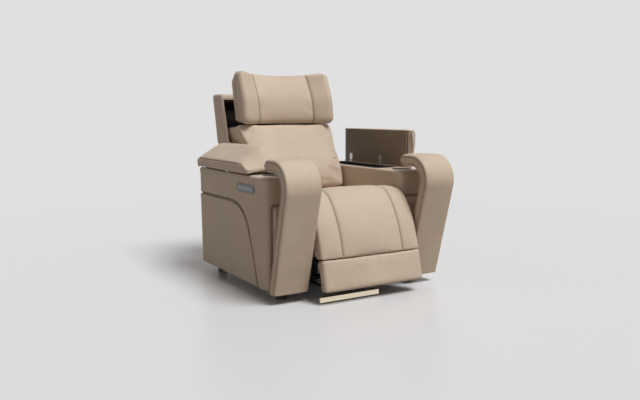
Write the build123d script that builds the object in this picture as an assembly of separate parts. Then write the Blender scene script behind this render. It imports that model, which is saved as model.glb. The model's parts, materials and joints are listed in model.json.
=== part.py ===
from build123d import *
import math
import os

# Power recliner. Millimetres, X across, the front faces -Y, the floor is at Z 0.

# Arms
overall_width = 920.0
arm_width = 185.0
arm_depth = 779.0
arm_front_y = -379.0
arm_bottom_z = 48.0
arm_top_z = 558.0
outer_panel = 24.0
inner_panel = 20.0
board = 18.0
deck_thickness = 24.0
front_pad = 12.0
front_split_z = 435.0
cover_gap = 1.5
cover_round = 5.0
arm_rear_round = 9.6

# Curved seam of the outer side and the lower side pad behind it
seam_z = 424.0
seam_corner_y = -145.0
seam_foot_y = -279.0
seam_radius = 200.0
side_pad_recess = 12.0
side_pad_proud = 1.5
seam_groove = 3.0

# Curled front slab
slab_thickness = 56.0
slab_lean = 14.6
slab_nose_radius = 118.0
slab_top_z = 640.0
slab_tip_y = -352.0
slab_side_gap = 1.0
slab_round = 12.0
slab_bolt_radius = 4.0
slab_bolt_head_radius = 7.0
slab_bolt_head = 5.0
slab_bolt_depth = 30.0
slab_bolt_z = 96.0
slab_bolt_spacing = 90.0
bolt_clearance = 0.2

# Cup holder and storage tray
cup_radius = 41.0
cup_wall = 2.5
cup_depth = 76.0
cup_floor = 3.0
cup_rim_width = 7.0
cup_set_back = 117.0
rim_height = 2.0
fit_clearance = 0.6
well_margin = 26.0
well_hinge_margin = 48.0
well_set_back = 239.0
well_back_margin = 42.0
tray_depth = 165.0
tray_wall = 3.0
tray_rim = 6.0

# Lids
lid_gap = 4.0
lid_board = 15.0
lid_set_back = 203.0
lid_back_margin = 8.0
lid_inset = 2.0
lid_overhang = 3.0
lid_pad_height = 100.0
lid_pad_side = 22.0
lid_pad_slope = 122.0
lid_pad_inner_fall = 6.0
lid_pad_inner_side = 76.0
lid_pad_inner_bevel = 18.0
lid_pad_overhang = 8.0
lid_pad_front_overhang = 20.0
lid_pad_back_overhang = 22.0
lid_pad_end = 0.28
lid_pad_side_end = 0.8
lid_pad_front_fall = 8
lid_pad_back_fall = 14
lid_pad_narrow = 6.0
lid_pad_narrow_power = 8
lid_open_angle = 90.0
hinge_back_inset = 52.0
hinge_spacing = 290.0
hinge_length = 28.0
hinge_leaf = 1.8
hinge_leaf_reach = 43.0
hinge_knuckle_radius = 4.0
hinge_pin_radius = 1.6
hinge_outset = 1.0
hinge_slack = 0.5
pin_clearance = 0.05

# Base frame, feet and supply
foot_radius = 24.0
foot_top_radius = 20.4
foot_inset_x = 92.0
foot_front_inset = 49.0
foot_back_inset = 55.0
rail_bottom_z = 60.0
rail_top_z = 92.0
rail_thickness = 13.0
rail_front_y = -345.0
rail_back_y = 300.0
cross_tube_radius = 12.0
cross_tube_ys = (-320.0, 0.0, 260.0)
tray_plate = 4.0
tray_plate_width = 150.0
supply_width = 110.0
supply_length = 140.0
supply_height = 45.0
supply_y = 160.0

# Mechanism side plates and their pivots, as (Y, Z)
plate_gap = 2.0
plate_thickness = 4.0
swing_gap = 1.0
swing_thickness = 4.5
legrest_pivot = (-425.0, 402.0)
back_pivot = (290.0, 340.0)
crank_pivot = (-290.0, 295.0)
pivot_boss = 15.0
pivot_pin_radius = 7.0

# Seat
seat_rail_width = 18.0
seat_rail_inset = 26.0
seat_rail_bottom_z = 318.0
seat_rail_top_z = 360.0
seat_front_rail_y = -380.0
seat_back_rail_y = 215.0
spring_count = 5
spring_wire_radius = 1.9
spring_half_pitch = 29.0
spring_half_width = 22.0
cushion_gap = 0.3
cushion_side_gap = 13.0
section_count = 11
seat_crest_y = -372.0
seat_crest_z = 500.0
seat_dip_z = 452.0
seat_end_y = 185.0
seat_seam_x = 165.0
seat_seam_depth = 22.0
seat_seam_width = 42.0
seat_edge_depth = 26.0
seat_base_round = 8.0
seat_nose_rise = 4.0
seat_nose_set_back = 26.0
seat_nose_step = 2.0
seat_nose_round = 6.0
seat_lip_reach = 82.0
seat_lip_round = 16.0
seat_front_reach = 42.0
seat_front_drop = 34.0
seat_front_round = 50.0
seat_crest_set_back = 20.0
seat_slope_length = 300.0
seat_slope_rise = 16.0
seat_slope_round = 200.0
seat_tail_length = 50.0
seat_tail_drop = 14.0
seat_tail_round = 40.0
seat_end_drop = 20.0
seat_end_round = 20.0
front_draw_share = 0.7
shoulder_draw_share = 0.6
edge_draw_power = 4

# Leg rest and foot panel
legrest_top_z = 385.0
legrest_bottom_z = 203.0
legrest_front_y = -534.0
legrest_seam_depth = 14.0
legrest_edge_depth = 16.0
legrest_tube_radius = 8.0
legrest_low_tube_set = (82.0, 29.0)
legrest_high_tube_set = (20.0, -50.0)
legrest_back_set = 4.0
legrest_back_round = 8.0
legrest_lip_set = 54.0
legrest_lip_round = 22.0
legrest_brow_set = 14.0
legrest_brow_drop = 58.0
legrest_front_round = 60.0
legrest_belly_rise = 50.0
legrest_hem_set = 2.0
legrest_hem_round = 14.0
legrest_base_set = 22.0
legrest_base_round = 6.0
guide_start = 28.0
weld_lap = 1.0
guide_radius = 9.0
guide_rod_radius = 6.0
guide_x = 150.0
slide_lean = 15.0
foot_panel_top_z = 198.0
foot_panel_height = 134.0
foot_panel_front_y = -530.0
foot_pad = 42.0
foot_board = 12.0
foot_side_gap = 9.0
foot_edge_depth = 12.0
foot_front_round = 16.0
foot_back_round = 5.0
foot_section_count = 5

# Drive tube, cranks and couplers: a parallelogram with the leg rest
drive_tube_radius = 12.0
coupler_drop = 140.0
coupler_set_back = -5.0
link_radius = 11.0
link_thickness = 5.0
link_gap = 2.0
crank_inset = 37.5
link_pin_radius = 5.0
open_pivot_clearance = 0.3

# Actuators
actuator_x = 90.0
lever_thickness = 8.0
lever_tip_radius = 11.0
legrest_lever = 80.0
recline_lever = 100.0
legrest_travel_angle = 73.0
recline_travel_angle = 40.0
actuator_post_width = 40.0
gearbox_width = 85.0
gearbox_length = 80.0
gearbox_height = 54.0
actuator_tube_radius = 14.0
actuator_tube_length = 120.0
recline_tube_length = 160.0
actuator_rod_radius = 8.0
motor_radius = 20.0
motor_length = 100.0
bore_floor = 2.0
fork_length = 46.0
fork_cheek = 5.0
fork_height = 26.0
fork_base = 10.0
fork_gap = 1.0

# Back
back_lean = 13.1
shell_bottom_z = 170.0
shell_back_y = 419.0
shell_ledge_z = 680.0
shell_top_z = 945.0
shell_wing_out = 33.0
shell_wall = 16.0
shell_flange = 10.0
shell_rail_height = 40.0
shell_rail_depth = 75.0
wing_front_y = 384.0
wing_top_y = 467.0
wing_depth_gap = 4.0
shell_round = 8.4
cushion_back_y = 299.0
back_bottom_z = 446.0
back_top_z = 768.0
back_front_y = 92.0
back_edge_depth = 30.0
back_section_count = 7
back_foot_round = 22.0
back_lumbar_set = (26.0, 114.0)
back_lumbar_round = 90.0
back_shoulder_set = (82.0, 206.0)
back_shoulder_round = 120.0
back_neck_set = 152.0
back_neck_drop = 26.0
back_neck_round = 40.0
back_top_set = 208.0
back_top_round = 20.0
back_rear_drop = 28.0
back_rear_round = 8.0
shoulder_set_share = 0.9
neck_set_share = 0.8
neck_drop_share = 0.3
top_drop_share = 0.25
hip_radius = 21.0
hip_half = 12.0
brace_drop = 65.0
upright_width = 30.0
upright_inset = 50.0
upright_bottom_z = 400.0
upright_top_z = 765.0
back_tube_radius = 14.0
brace_tube_radius = 10.0
shell_arm_zs = (440.0, 735.0)
shell_arm_height = 30.0
lining = 3.0

# Headrest
headrest_pivot = (300.0, 782.0)
headrest_side_gap = 4.0
headrest_bottom_z = 800.0
headrest_top_z = 1062.0
headrest_top_dip = 18.0
headrest_front_y = 238.0
headrest_recess = 52.0
headrest_back_y = 398.0
headrest_back_top_y = 440.0
headrest_seam_x = 165.0
headrest_seam_depth = 10.0
headrest_seam_width = 40.0
headrest_edge_depth = 16.0
headrest_plate = 10.0
headrest_plate_inset = 9.0
headrest_lug = 7.0
headrest_lug_radius = 9.0
headrest_pin_radius = 6.0
headrest_lever = 120.0
headrest_lever_angle = -19.6
headrest_actuator_radius = 6.0
headrest_actuator_length = 250.0
headrest_gearbox = (50.0, 40.0, 56.0)
headrest_tube_wall = 7.0
headrest_tube_length = 110.0
headrest_motor_radius = 17.0
headrest_motor_length = 90.0
headrest_bore_start = 10.0
headrest_rod_start = 40.0
actuator_seat = 8.0
actuator_seat_half = 28.0
actuator_seat_reach = 25.0
actuator_seat_drop = 30.0
headrest_chin_rise = 4.0
headrest_chin_round = 22.0
headrest_cheek_set = (8.0, 118.0)
headrest_cheek_round = 140.0
headrest_brow_set = 54.0
headrest_brow_drop = 16.0
headrest_top_round = 26.0
headrest_crown_set = 2.0
headrest_rear_drop = 72.0
headrest_rear_round = 20.0
headrest_base_round = 8.0
brow_dish_share = 0.25
headrest_plate_gap = 1.0
headrest_plate_foot = 14.0
headrest_plate_drop = 110.0
headrest_lug_rise = 2.0
headrest_lever_rise = 3.0

# Control plate on the outer side of the left arm
panel_length = 186.0
panel_height = 34.0
panel_y = -157.0
panel_z = 496.0
panel_depth = 10.0
panel_proud = 2.0
panel_floor = 3.8
button_count = 4
button_width = 30.0
button_height = 18.0
button_proud = 1.2
button_travel = 1.2
button_clearance = 0.3
button_round = 0.6

# Light bar low under the foot panel
light_left_x = -270.0
light_length = 315.0
light_height = 22.0
light_bottom_z = 8.0
light_back_y = -500.0
light_depth = 12.0
light_diffuser = 4.0
light_bracket = 6.0
light_bracket_width = 20.0
light_bracket_shares = (0.2, 0.8)
light_edge_round = 2.8

# Most of a run that the round corners at its ends may use up
corner_fill = 0.99

# Places that follow from the sizes above
arm_outer_x = overall_width / 2
arm_inner_x = arm_outer_x - arm_width
arm_back_y = arm_front_y + arm_depth
arm_mid_x = arm_outer_x - arm_width / 2
deck_bottom_z = arm_top_z - deck_thickness
plate_x = arm_inner_x - plate_gap - plate_thickness
swing_x = plate_x - swing_gap - swing_thickness
cup_y = arm_front_y + cup_set_back
well_front_y = arm_front_y + well_set_back
well_back_y = arm_back_y - well_back_margin
lid_front_y = arm_front_y + lid_set_back
lid_back_y = arm_back_y - lid_back_margin
hinge_ys = (lid_back_y - hinge_back_inset - hinge_spacing, lid_back_y - hinge_back_inset)
foot_front_y = arm_front_y + foot_front_inset
foot_back_y = arm_back_y - foot_back_inset
cushion_half_width = arm_inner_x - cushion_side_gap
foot_half_width = arm_inner_x - foot_side_gap
crank_x = swing_x - crank_inset
shell_half_width = cushion_half_width + shell_wing_out
upright_x = cushion_half_width - upright_inset
headrest_half_width = cushion_half_width - headrest_side_gap
headrest_plate_half_width = upright_x - headrest_plate_inset
lean_slope = math.tan(math.radians(back_lean))


def block(x0, x1, y0, y1, z0, z1):
    middle = Pos((x0 + x1) / 2, (y0 + y1) / 2, (z0 + z1) / 2)
    return middle * Box(x1 - x0, y1 - y0, z1 - z0)


def side_prism(outline, x0, x1):
    face = make_face(Polyline(*[(x0, y, z) for y, z in outline], close=True))
    return extrude(face, amount=x1 - x0, dir=(1, 0, 0))


def bar(start, end, radius):
    start, end = Vector(*start), Vector(*end)
    length = (end - start).length
    return Plane(start, z_dir=end - start) * Pos(0, 0, length / 2) * Cylinder(radius, length)


def cross_bar(place, radius, x0, x1):
    return bar((x0, *place), (x1, *place), radius)


def link(start, end, radius, x0, x1):
    middle = (x0, (start[0] + end[0]) / 2, (start[1] + end[1]) / 2)
    run = (0, end[0] - start[0], end[1] - start[1])
    face = SlotCenterToCenter(math.hypot(*run), 2 * radius)
    return extrude(Plane(middle, x_dir=run, z_dir=(1, 0, 0)) * face, amount=x1 - x0)


def mirrored(shape):
    return mirror(shape, about=Plane.YZ)


def both_sides(shape):
    return shape + mirrored(shape)


def rounded_outline(x, corners):
    # Each corner is (y, z, radius); round corners are arcs tangent to both runs, as large as these allow.
    edges = []
    ends = []
    count = len(corners)
    places = [Vector(x, y, z) for y, z, _ in corners]
    runs = [(places[(i + 1) % count] - places[i]).length for i in range(count)]
    turns = []
    for i, here in enumerate(places):
        before = (places[i - 1] - here).normalized()
        after = (places[(i + 1) % count] - here).normalized()
        half = math.radians(before.get_angle(after)) / 2
        turns.append((before, after, half, corners[i][2] / math.tan(half)))
    for i, here in enumerate(places):
        before, after, half, wanted = turns[i]
        if wanted == 0:
            ends.append((here, here, None))
            continue
        last, following = wanted + turns[i - 1][3], wanted + turns[(i + 1) % count][3]
        tangent = wanted * min(1, corner_fill * runs[i - 1] / last, corner_fill * runs[i] / following)
        radius = tangent * math.tan(half)
        bisector = (before + after).normalized()
        apex = here + bisector * (radius / math.sin(half) - radius)
        ends.append((here + before * tangent, here + after * tangent, apex))
    for i, (enter, leave, apex) in enumerate(ends):
        if apex is not None:
            edges.append(ThreePointArc(enter, apex, leave))
        edges.append(Line(leave, ends[(i + 1) % count][0]))
    return make_face(edges)


def lofted(profile, half_width, drawn_at, count=section_count):
    # Sections stand evenly across the width; drawn_at(x) is how far the skin is drawn in there.
    places = [half_width * (2 * i / (count - 1) - 1) for i in range(count)]
    return loft([rounded_outline(x, profile(x, drawn_at(abs(x)))) for x in places])


def edge_draw(x, half_width, depth):
    # The sides of a cushion draw in smoothly towards its ends.
    return depth * (x / half_width) ** edge_draw_power


def seam_draw(x, seam_x, depth, width):
    # A sewn valley.
    return depth * math.exp(-((x - seam_x) / width) ** 2)


def plus(place, offset):
    return (place[0] + offset[0], place[1] + offset[1])


# Arms, made on the right side


def seam_outline(x):
    return rounded_outline(x, [
        (arm_back_y, seam_z, 0),
        (seam_corner_y, seam_z, seam_radius),
        (seam_foot_y, arm_bottom_z, 0),
        (arm_back_y, arm_bottom_z, 0),
    ])


def arm_outer_panel():
    panel = block(arm_outer_x - outer_panel, arm_outer_x, arm_front_y + front_pad, arm_back_y,
                  arm_bottom_z, deck_bottom_z)
    rear_edge = panel.edges().filter_by(Axis.Z).group_by(Axis.Y)[-1].sort_by(Axis.X)[-1]
    panel = fillet(rear_edge, arm_rear_round)
    recess = extrude(seam_outline(arm_outer_x - side_pad_recess), amount=side_pad_recess * 2,
                     dir=(1, 0, 0))
    return panel - recess


def arm_inner_panel():
    return block(arm_inner_x, arm_inner_x + inner_panel, arm_front_y + front_pad, arm_back_y,
                 arm_bottom_z, deck_bottom_z)


def slab_bolt_places():
    half = slab_bolt_spacing / 2
    return [(arm_mid_x + shift, slab_bolt_z) for shift in (-half, half)]


def bolt_holes():
    reach = front_pad + board + slab_bolt_depth * 2
    holes = [Pos(x, arm_front_y, z) * Rot(90, 0, 0)
             * Cylinder(slab_bolt_radius + bolt_clearance, 2 * reach)
             for x, z in slab_bolt_places()]
    return holes[0] + holes[1]


def arm_boards():
    x0 = arm_inner_x + inner_panel
    x1 = arm_outer_x - outer_panel
    y0 = arm_front_y + front_pad
    front = block(x0, x1, y0, y0 + board, arm_bottom_z, deck_bottom_z) - bolt_holes()
    back = block(x0, x1, arm_back_y - board, arm_back_y, arm_bottom_z, deck_bottom_z)
    bottom = block(x0, x1, y0 + board, arm_back_y - board, arm_bottom_z, arm_bottom_z + board)
    return Compound(children=[front, back, bottom])


def arm_deck():
    deck = block(arm_inner_x, arm_outer_x, arm_front_y, arm_back_y, deck_bottom_z, arm_top_z)
    deck = fillet(deck.faces().sort_by(Axis.Z)[-1].edges(), cover_round)
    slack = fit_clearance
    well = block(arm_inner_x + well_margin - slack, arm_outer_x - well_hinge_margin + slack,
                 well_front_y - slack, well_back_y + slack, 0, arm_top_z * 2)
    bore = Pos(arm_mid_x, cup_y, arm_top_z) * Cylinder(cup_radius + cup_wall + slack,
                                                       4 * deck_thickness)
    return deck - well - bore


def side_pad():
    x = arm_outer_x - side_pad_recess
    outline = offset(seam_outline(x), -seam_groove)
    pad = extrude(outline, amount=side_pad_recess + side_pad_proud, dir=(1, 0, 0))
    return fillet(pad.faces().sort_by(Axis.X)[-1].edges(), cover_round)


def front_pads():
    y1 = arm_front_y + front_pad
    spans = [(arm_bottom_z, front_split_z - cover_gap), (front_split_z + cover_gap, deck_bottom_z)]
    pads = []
    for low, high in spans:
        pad = block(arm_inner_x, arm_outer_x, arm_front_y, y1, low, high)
        pads.append(fillet(pad.faces().sort_by(Axis.Y)[0].edges(), cover_round) - bolt_holes())
    return Compound(children=pads)


def front_slab():
    lean = math.radians(slab_lean)
    inner_radius = slab_nose_radius - slab_thickness
    out = (-math.cos(lean), -math.sin(lean))
    up = (-math.sin(lean), math.cos(lean))
    centre_z = slab_top_z - slab_nose_radius
    leg = (centre_z + out[1] * inner_radius - arm_bottom_z) / up[1]
    centre_y = arm_front_y - cushion_gap + up[0] * leg - out[0] * inner_radius
    x = arm_inner_x + slab_side_gap

    def at(radius, direction):
        return Vector(x, centre_y + radius * direction[0], centre_z + radius * direction[1])

    halfway = math.radians(90 + (90 + slab_lean) / 2)
    bend = (math.cos(halfway), math.sin(halfway))
    over = (0, 1)
    inner_leg = Vector(x, arm_front_y - cushion_gap, arm_bottom_z)
    outer_leg = Vector(x, inner_leg.Y - slab_thickness / math.cos(lean), arm_bottom_z)
    tip_radius = slab_thickness / 2
    tip_y = slab_tip_y - tip_radius
    tip_top = Vector(x, tip_y, slab_top_z)
    tip_end = Vector(x, slab_tip_y, slab_top_z - tip_radius)
    tip_low = Vector(x, tip_y, slab_top_z - slab_thickness)
    outline = [
        Line(outer_leg, at(slab_nose_radius, out)),
        ThreePointArc(at(slab_nose_radius, out), at(slab_nose_radius, bend),
                      at(slab_nose_radius, over)),
        Line(at(slab_nose_radius, over), tip_top),
        ThreePointArc(tip_top, tip_end, tip_low),
        Line(tip_low, at(inner_radius, over)),
        ThreePointArc(at(inner_radius, over), at(inner_radius, bend), at(inner_radius, out)),
        Line(at(inner_radius, out), inner_leg),
        Line(inner_leg, outer_leg),
    ]
    width = arm_width - 2 * slab_side_gap
    slab = extrude(make_face(outline), amount=width, dir=(1, 0, 0))
    rims = slab.faces().sort_by(Axis.X)
    slab = fillet(rims[0].edges() + rims[-1].edges(), slab_round)
    return slab - bolt_holes()


def slab_bolts():
    head_y = arm_front_y + front_pad + board
    tip_y = arm_front_y - slab_bolt_depth
    bolts = []
    for x, z in slab_bolt_places():
        bolts.append(bar((x, head_y + slab_bolt_head, z), (x, head_y, z), slab_bolt_head_radius)
                     + bar((x, head_y, z), (x, tip_y, z), slab_bolt_radius))
    return bolts


def cup_holder():
    outer = cup_radius + cup_wall
    z = arm_top_z
    outline = Polyline(
        (0, z - cup_depth - cup_floor),
        (outer, z - cup_depth - cup_floor),
        (outer, z),
        (outer + cup_rim_width, z),
        (outer + cup_rim_width, z + rim_height),
        (cup_radius, z + rim_height),
        (cup_radius, z - cup_depth),
        (0, z - cup_depth),
        close=True,
    )
    cup = revolve(make_face(Plane.XZ * outline), Axis.Z)
    return Pos(arm_mid_x, cup_y, 0) * cup


def storage_tray():
    x0 = arm_inner_x + well_margin
    x1 = arm_outer_x - well_hinge_margin
    y0, y1, z = well_front_y, well_back_y, arm_top_z
    tray = block(x0, x1, y0, y1, z - tray_depth, z)
    rim = block(x0 - tray_rim, x1 + tray_rim, y0 - tray_rim, y1 + tray_rim, z, z + rim_height)
    room = block(x0 + tray_wall, x1 - tray_wall, y0 + tray_wall, y1 - tray_wall,
                 z - tray_depth + tray_wall, z + 2 * rim_height)
    return tray + rim - room


# Lids, made closed on the right side

lid_bottom_z = arm_top_z + lid_gap
lid_top_z = lid_bottom_z + lid_board
lid_inner_x = arm_inner_x + lid_inset
lid_outer_x = arm_outer_x + lid_overhang
hinge_x = arm_outer_x + hinge_outset
hinge_z = lid_bottom_z + hinge_leaf
knuckle_third = (hinge_length - 2 * hinge_slack) / 3


def lid_board_panel():
    panel = block(lid_inner_x, lid_outer_x, lid_front_y, lid_back_y, lid_bottom_z, lid_top_z)
    relief = 2 * hinge_knuckle_radius + hinge_slack
    for y in hinge_ys:
        half = hinge_length / 2 + 2 * hinge_slack
        panel -= block(hinge_x - relief, lid_outer_x * 2, y - half, y + half, 0, lid_top_z * 2)
    return panel


def lid_pad():
    # Plump pad: low outer boxing, a long outer slope, a crown near the seat, and a fall to a thin front lip.
    x0 = lid_inner_x - lid_pad_overhang
    x1 = lid_outer_x + lid_pad_overhang
    low = lid_top_z + cushion_gap
    start = lid_front_y - lid_pad_front_overhang
    span = lid_back_y + lid_pad_back_overhang - start

    def station(share, rise, narrow):
        y = start + share * span
        side = lid_pad_side * (lid_pad_side_end + (1 - lid_pad_side_end) * rise)
        inner, outer = x0 + narrow, x1 - narrow
        ring = [
            (inner, low),
            (outer, low),
            (outer, low + side),
            (outer - lid_pad_slope, low + lid_pad_height * rise),
            (inner + lid_pad_inner_bevel, low + (lid_pad_height - lid_pad_inner_fall) * rise),
            (inner, low + lid_pad_inner_side * rise),
        ]
        return make_face(Polyline(*[(x, y, z) for x, z in ring], close=True))

    sections = []
    for i in range(section_count):
        share = i / (section_count - 1)
        front = 1 - (1 - share) ** lid_pad_front_fall
        back = 1 - share ** lid_pad_back_fall
        rise = lid_pad_end + (1 - lid_pad_end) * front * back
        narrow = lid_pad_narrow * (2 * share - 1) ** lid_pad_narrow_power
        sections.append(station(share, rise, narrow))
    return loft(sections)


def hinge_segments(y):
    half = hinge_length / 2
    inner = knuckle_third / 2
    return (y - half, y - inner - hinge_slack), (y - inner, y + inner), (y + inner + hinge_slack, y + half)


def hinge_leaf_fixed(y):
    half = hinge_length / 2
    leaf = block(hinge_x - hinge_leaf_reach, hinge_x, y - half, y + half, arm_top_z,
                 arm_top_z + hinge_leaf)
    first, _, last = hinge_segments(y)
    for y0, y1 in (first, last):
        leaf += bar((hinge_x, y0, hinge_z), (hinge_x, y1, hinge_z), hinge_knuckle_radius)
        leaf += block(hinge_x - hinge_knuckle_radius, hinge_x, y0, y1, arm_top_z, hinge_z)
    return leaf + bar((hinge_x, y - half, hinge_z), (hinge_x, y + half, hinge_z), hinge_pin_radius)


def hinge_leaf_moving(y):
    half = hinge_length / 2
    relief = 2 * hinge_knuckle_radius + hinge_slack
    _, (y0, y1), _ = hinge_segments(y)
    low = lid_bottom_z - hinge_leaf
    leaf = block(hinge_x - hinge_leaf_reach, hinge_x - relief, y - half, y + half, low, lid_bottom_z)
    leaf += block(hinge_x - relief, hinge_x, y0, y1, low, lid_bottom_z)
    leaf += bar((hinge_x, y0, hinge_z), (hinge_x, y1, hinge_z), hinge_knuckle_radius)
    bore = bar((hinge_x, y0 - 1, hinge_z), (hinge_x, y1 + 1, hinge_z), hinge_pin_radius + pin_clearance)
    return leaf - bore


def opened(shape):
    # Swings a closed right lid outwards about its hinge line.
    return shape.rotate(Axis((hinge_x, 0, hinge_z), (0, 1, 0)), lid_open_angle)


# Base


def base_frame():
    rail_mid = plate_x + plate_thickness / 2
    rail = block(rail_mid - rail_thickness / 2, arm_inner_x, rail_front_y, rail_back_y,
                 rail_bottom_z, rail_top_z)
    frame = both_sides(rail)
    tube_z = (rail_bottom_z + rail_top_z) / 2
    for y in cross_tube_ys:
        frame += cross_bar((y, tube_z), cross_tube_radius, -rail_mid, rail_mid)
    tube_top = tube_z + cross_tube_radius
    half = tray_plate_width / 2
    frame += block(-half, half, cross_tube_ys[1], cross_tube_ys[2], tube_top - tray_plate / 2,
                   tube_top + tray_plate / 2)
    frame += block(-foot_radius, foot_radius, -foot_radius, foot_radius, rail_bottom_z, tube_z)
    post = actuator_post_width / 2
    for x, top in ((-actuator_x, legrest_rod_z), (actuator_x, recline_rod_z)):
        frame += block(x - post, x + post, -cross_tube_radius, cross_tube_radius, tube_z,
                       top - gearbox_height / 2)
    bracket_back = light_back_y + light_bracket
    for share in light_bracket_shares:
        x = light_left_x + share * light_length
        x0, x1 = x - light_bracket_width / 2, x + light_bracket_width / 2
        frame += block(x0, x1, light_back_y, bracket_back, light_bottom_z + light_bracket, rail_bottom_z)
        frame += block(x0, x1, light_back_y, cross_tube_ys[0], rail_bottom_z - light_bracket,
                       rail_bottom_z)
        frame += block(x0, x1, cross_tube_ys[0] - light_bracket, cross_tube_ys[0] + light_bracket,
                       rail_bottom_z - light_bracket, tube_z)
    return frame


def glide(x, y, top):
    return Pos(x, y, top / 2) * Cone(foot_radius, foot_top_radius, top)


def feet():
    x = arm_outer_x - foot_inset_x
    legs = [glide(sx * x, y, arm_bottom_z) for sx in (-1, 1) for y in (foot_front_y, foot_back_y)]
    return Compound(children=legs + [glide(0, 0, rail_bottom_z)])


def mechanism_plates():
    x0, x1 = plate_x, plate_x + plate_thickness
    front_y = rail_front_y + pivot_boss
    rear_y = rail_back_y - 4 * pivot_boss
    sheet = side_prism([
        (front_y, rail_top_z),
        (rear_y, rail_top_z),
        (rear_y, seat_rail_top_z),
        (front_y, seat_rail_top_z),
    ], x0, x1)
    sheet += link((front_y + 2 * pivot_boss, seat_rail_top_z - pivot_boss), legrest_pivot, pivot_boss,
                  x0, x1)
    sheet += link((rear_y - pivot_boss, back_pivot[1]), back_pivot, pivot_boss, x0, x1)
    sheet -= cross_bar(crank_pivot, drive_tube_radius + pin_clearance, x0 - 1, x1 + 1)
    pin_x = swing_x - swing_gap
    for place in (legrest_pivot, back_pivot):
        sheet += cross_bar(place, pivot_pin_radius, pin_x, x1)
    rail_x = cushion_half_width - seat_rail_inset + seat_rail_width / 2
    for y in (front_y + 2 * pivot_boss, rear_y - 4 * pivot_boss):
        sheet += block(rail_x, x0, y - pivot_boss, y + pivot_boss, seat_rail_top_z - 2 * pivot_boss,
                       seat_rail_top_z - link_thickness)
    return Compound(children=[mirrored(sheet), sheet])


def supply_box():
    tube_z = (rail_bottom_z + rail_top_z) / 2
    low = tube_z + cross_tube_radius + tray_plate / 2
    case = block(-supply_width / 2, supply_width / 2, supply_y - supply_length / 2,
                 supply_y + supply_length / 2, low, low + supply_height)
    return fillet(case.edges().filter_by(Axis.Z), cover_round)


def light_channel():
    x1 = light_left_x + light_length
    top = light_bottom_z + light_height
    return block(light_left_x, x1, light_back_y - light_depth, light_back_y, light_bottom_z, top)


def light_diffuser_strip():
    x1 = light_left_x + light_length
    front = light_back_y - light_depth
    top = light_bottom_z + light_height
    strip = block(light_left_x, x1, front - light_diffuser, front, light_bottom_z, top)
    return fillet(strip.faces().sort_by(Axis.Y)[0].edges().filter_by(Axis.X), light_edge_round)


# Seat


def seat_frame():
    rail_x = cushion_half_width - seat_rail_inset
    x0, x1 = rail_x - seat_rail_width / 2, rail_x + seat_rail_width / 2
    rails = both_sides(block(x0, x1, seat_front_rail_y, seat_back_rail_y, seat_rail_bottom_z,
                             seat_rail_top_z))
    for y in (seat_front_rail_y, seat_back_rail_y - seat_rail_width):
        rails += block(-x0, x0, y, y + seat_rail_width, seat_rail_bottom_z, seat_rail_top_z)
    return rails


def seat_springs():
    # Sinuous wires: half turns joined by straight runs across, from rail to rail.
    z = seat_rail_top_z + spring_wire_radius
    turn = spring_half_pitch / 2
    length = seat_back_rail_y - seat_front_rail_y - seat_rail_width
    turns = int(length // spring_half_pitch)
    start = seat_front_rail_y + seat_rail_width / 2
    reach = cushion_half_width - 2 * seat_rail_inset - spring_half_width - 2 * turn
    springs = []
    for i in range(spring_count):
        middle = -reach + 2 * reach * i / (spring_count - 1)
        edges = []
        side = 1
        for k in range(turns):
            y = start + k * spring_half_pitch
            x0, x1 = middle - side * spring_half_width, middle + side * spring_half_width
            edges.append(Line((x0, y, z), (x1, y, z)))
            if k < turns - 1:
                edges.append(ThreePointArc((x1, y, z), (x1 + side * turn, y + turn, z),
                                           (x1, y + spring_half_pitch, z)))
            side = -side
        path = Wire(edges)
        springs.append(sweep(Plane(path @ 0, z_dir=path % 0) * Circle(spring_wire_radius), path))
    return Compound(children=springs)


def seat_profile(x, drawn):
    low = seat_rail_top_z + 2 * spring_wire_radius + cushion_gap
    nose_z = legrest_pivot[1] + seat_nose_rise
    front_y = seat_crest_y - seat_front_reach + front_draw_share * drawn
    front_z = seat_crest_z - seat_front_drop - shoulder_draw_share * drawn
    slope_z = seat_dip_z + seat_slope_rise - front_draw_share * drawn
    return [
        (seat_end_y, low, seat_base_round),
        (seat_front_rail_y - seat_nose_rise, low, seat_base_round),
        (legrest_pivot[0] + seat_nose_set_back, nose_z - seat_nose_step, seat_nose_round),
        (seat_crest_y - seat_lip_reach + drawn, nose_z, seat_lip_round),
        (front_y, front_z, seat_front_round),
        (seat_crest_y + seat_crest_set_back, seat_crest_z - drawn, seat_front_round),
        (seat_crest_y + seat_slope_length, slope_z, seat_slope_round),
        (back_front_y - seat_tail_length, seat_dip_z - seat_tail_drop, seat_tail_round),
        (seat_end_y, seat_dip_z - seat_end_drop, seat_end_round),
    ]


def channelled(x, seam_depth, edge_depth):
    # A raised middle panel between two sewn valleys, then side panels with drawn-in edges.
    return (seam_draw(x, seat_seam_x, seam_depth, seat_seam_width)
            + edge_draw(x, cushion_half_width, edge_depth))


def seat_cushion():
    return lofted(seat_profile, cushion_half_width,
                  lambda x: channelled(x, seat_seam_depth, seat_edge_depth))


# Leg rest and foot panel

slide_run = (-math.sin(math.radians(slide_lean)), -math.cos(math.radians(slide_lean)))
slide_out = (slide_run[1], -slide_run[0])
coupler_pin = plus(legrest_pivot, (coupler_set_back, -coupler_drop))
coupler_offset = (crank_pivot[0] - legrest_pivot[0], crank_pivot[1] - legrest_pivot[1])
crank_end = plus(coupler_pin, coupler_offset)
coupler_x = crank_x + link_thickness + link_gap
coupler_lug_x = coupler_x + link_thickness + link_gap
legrest_low_tube = plus((legrest_front_y, legrest_bottom_z), legrest_low_tube_set)
legrest_high_tube = plus(legrest_pivot, legrest_high_tube_set)


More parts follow.
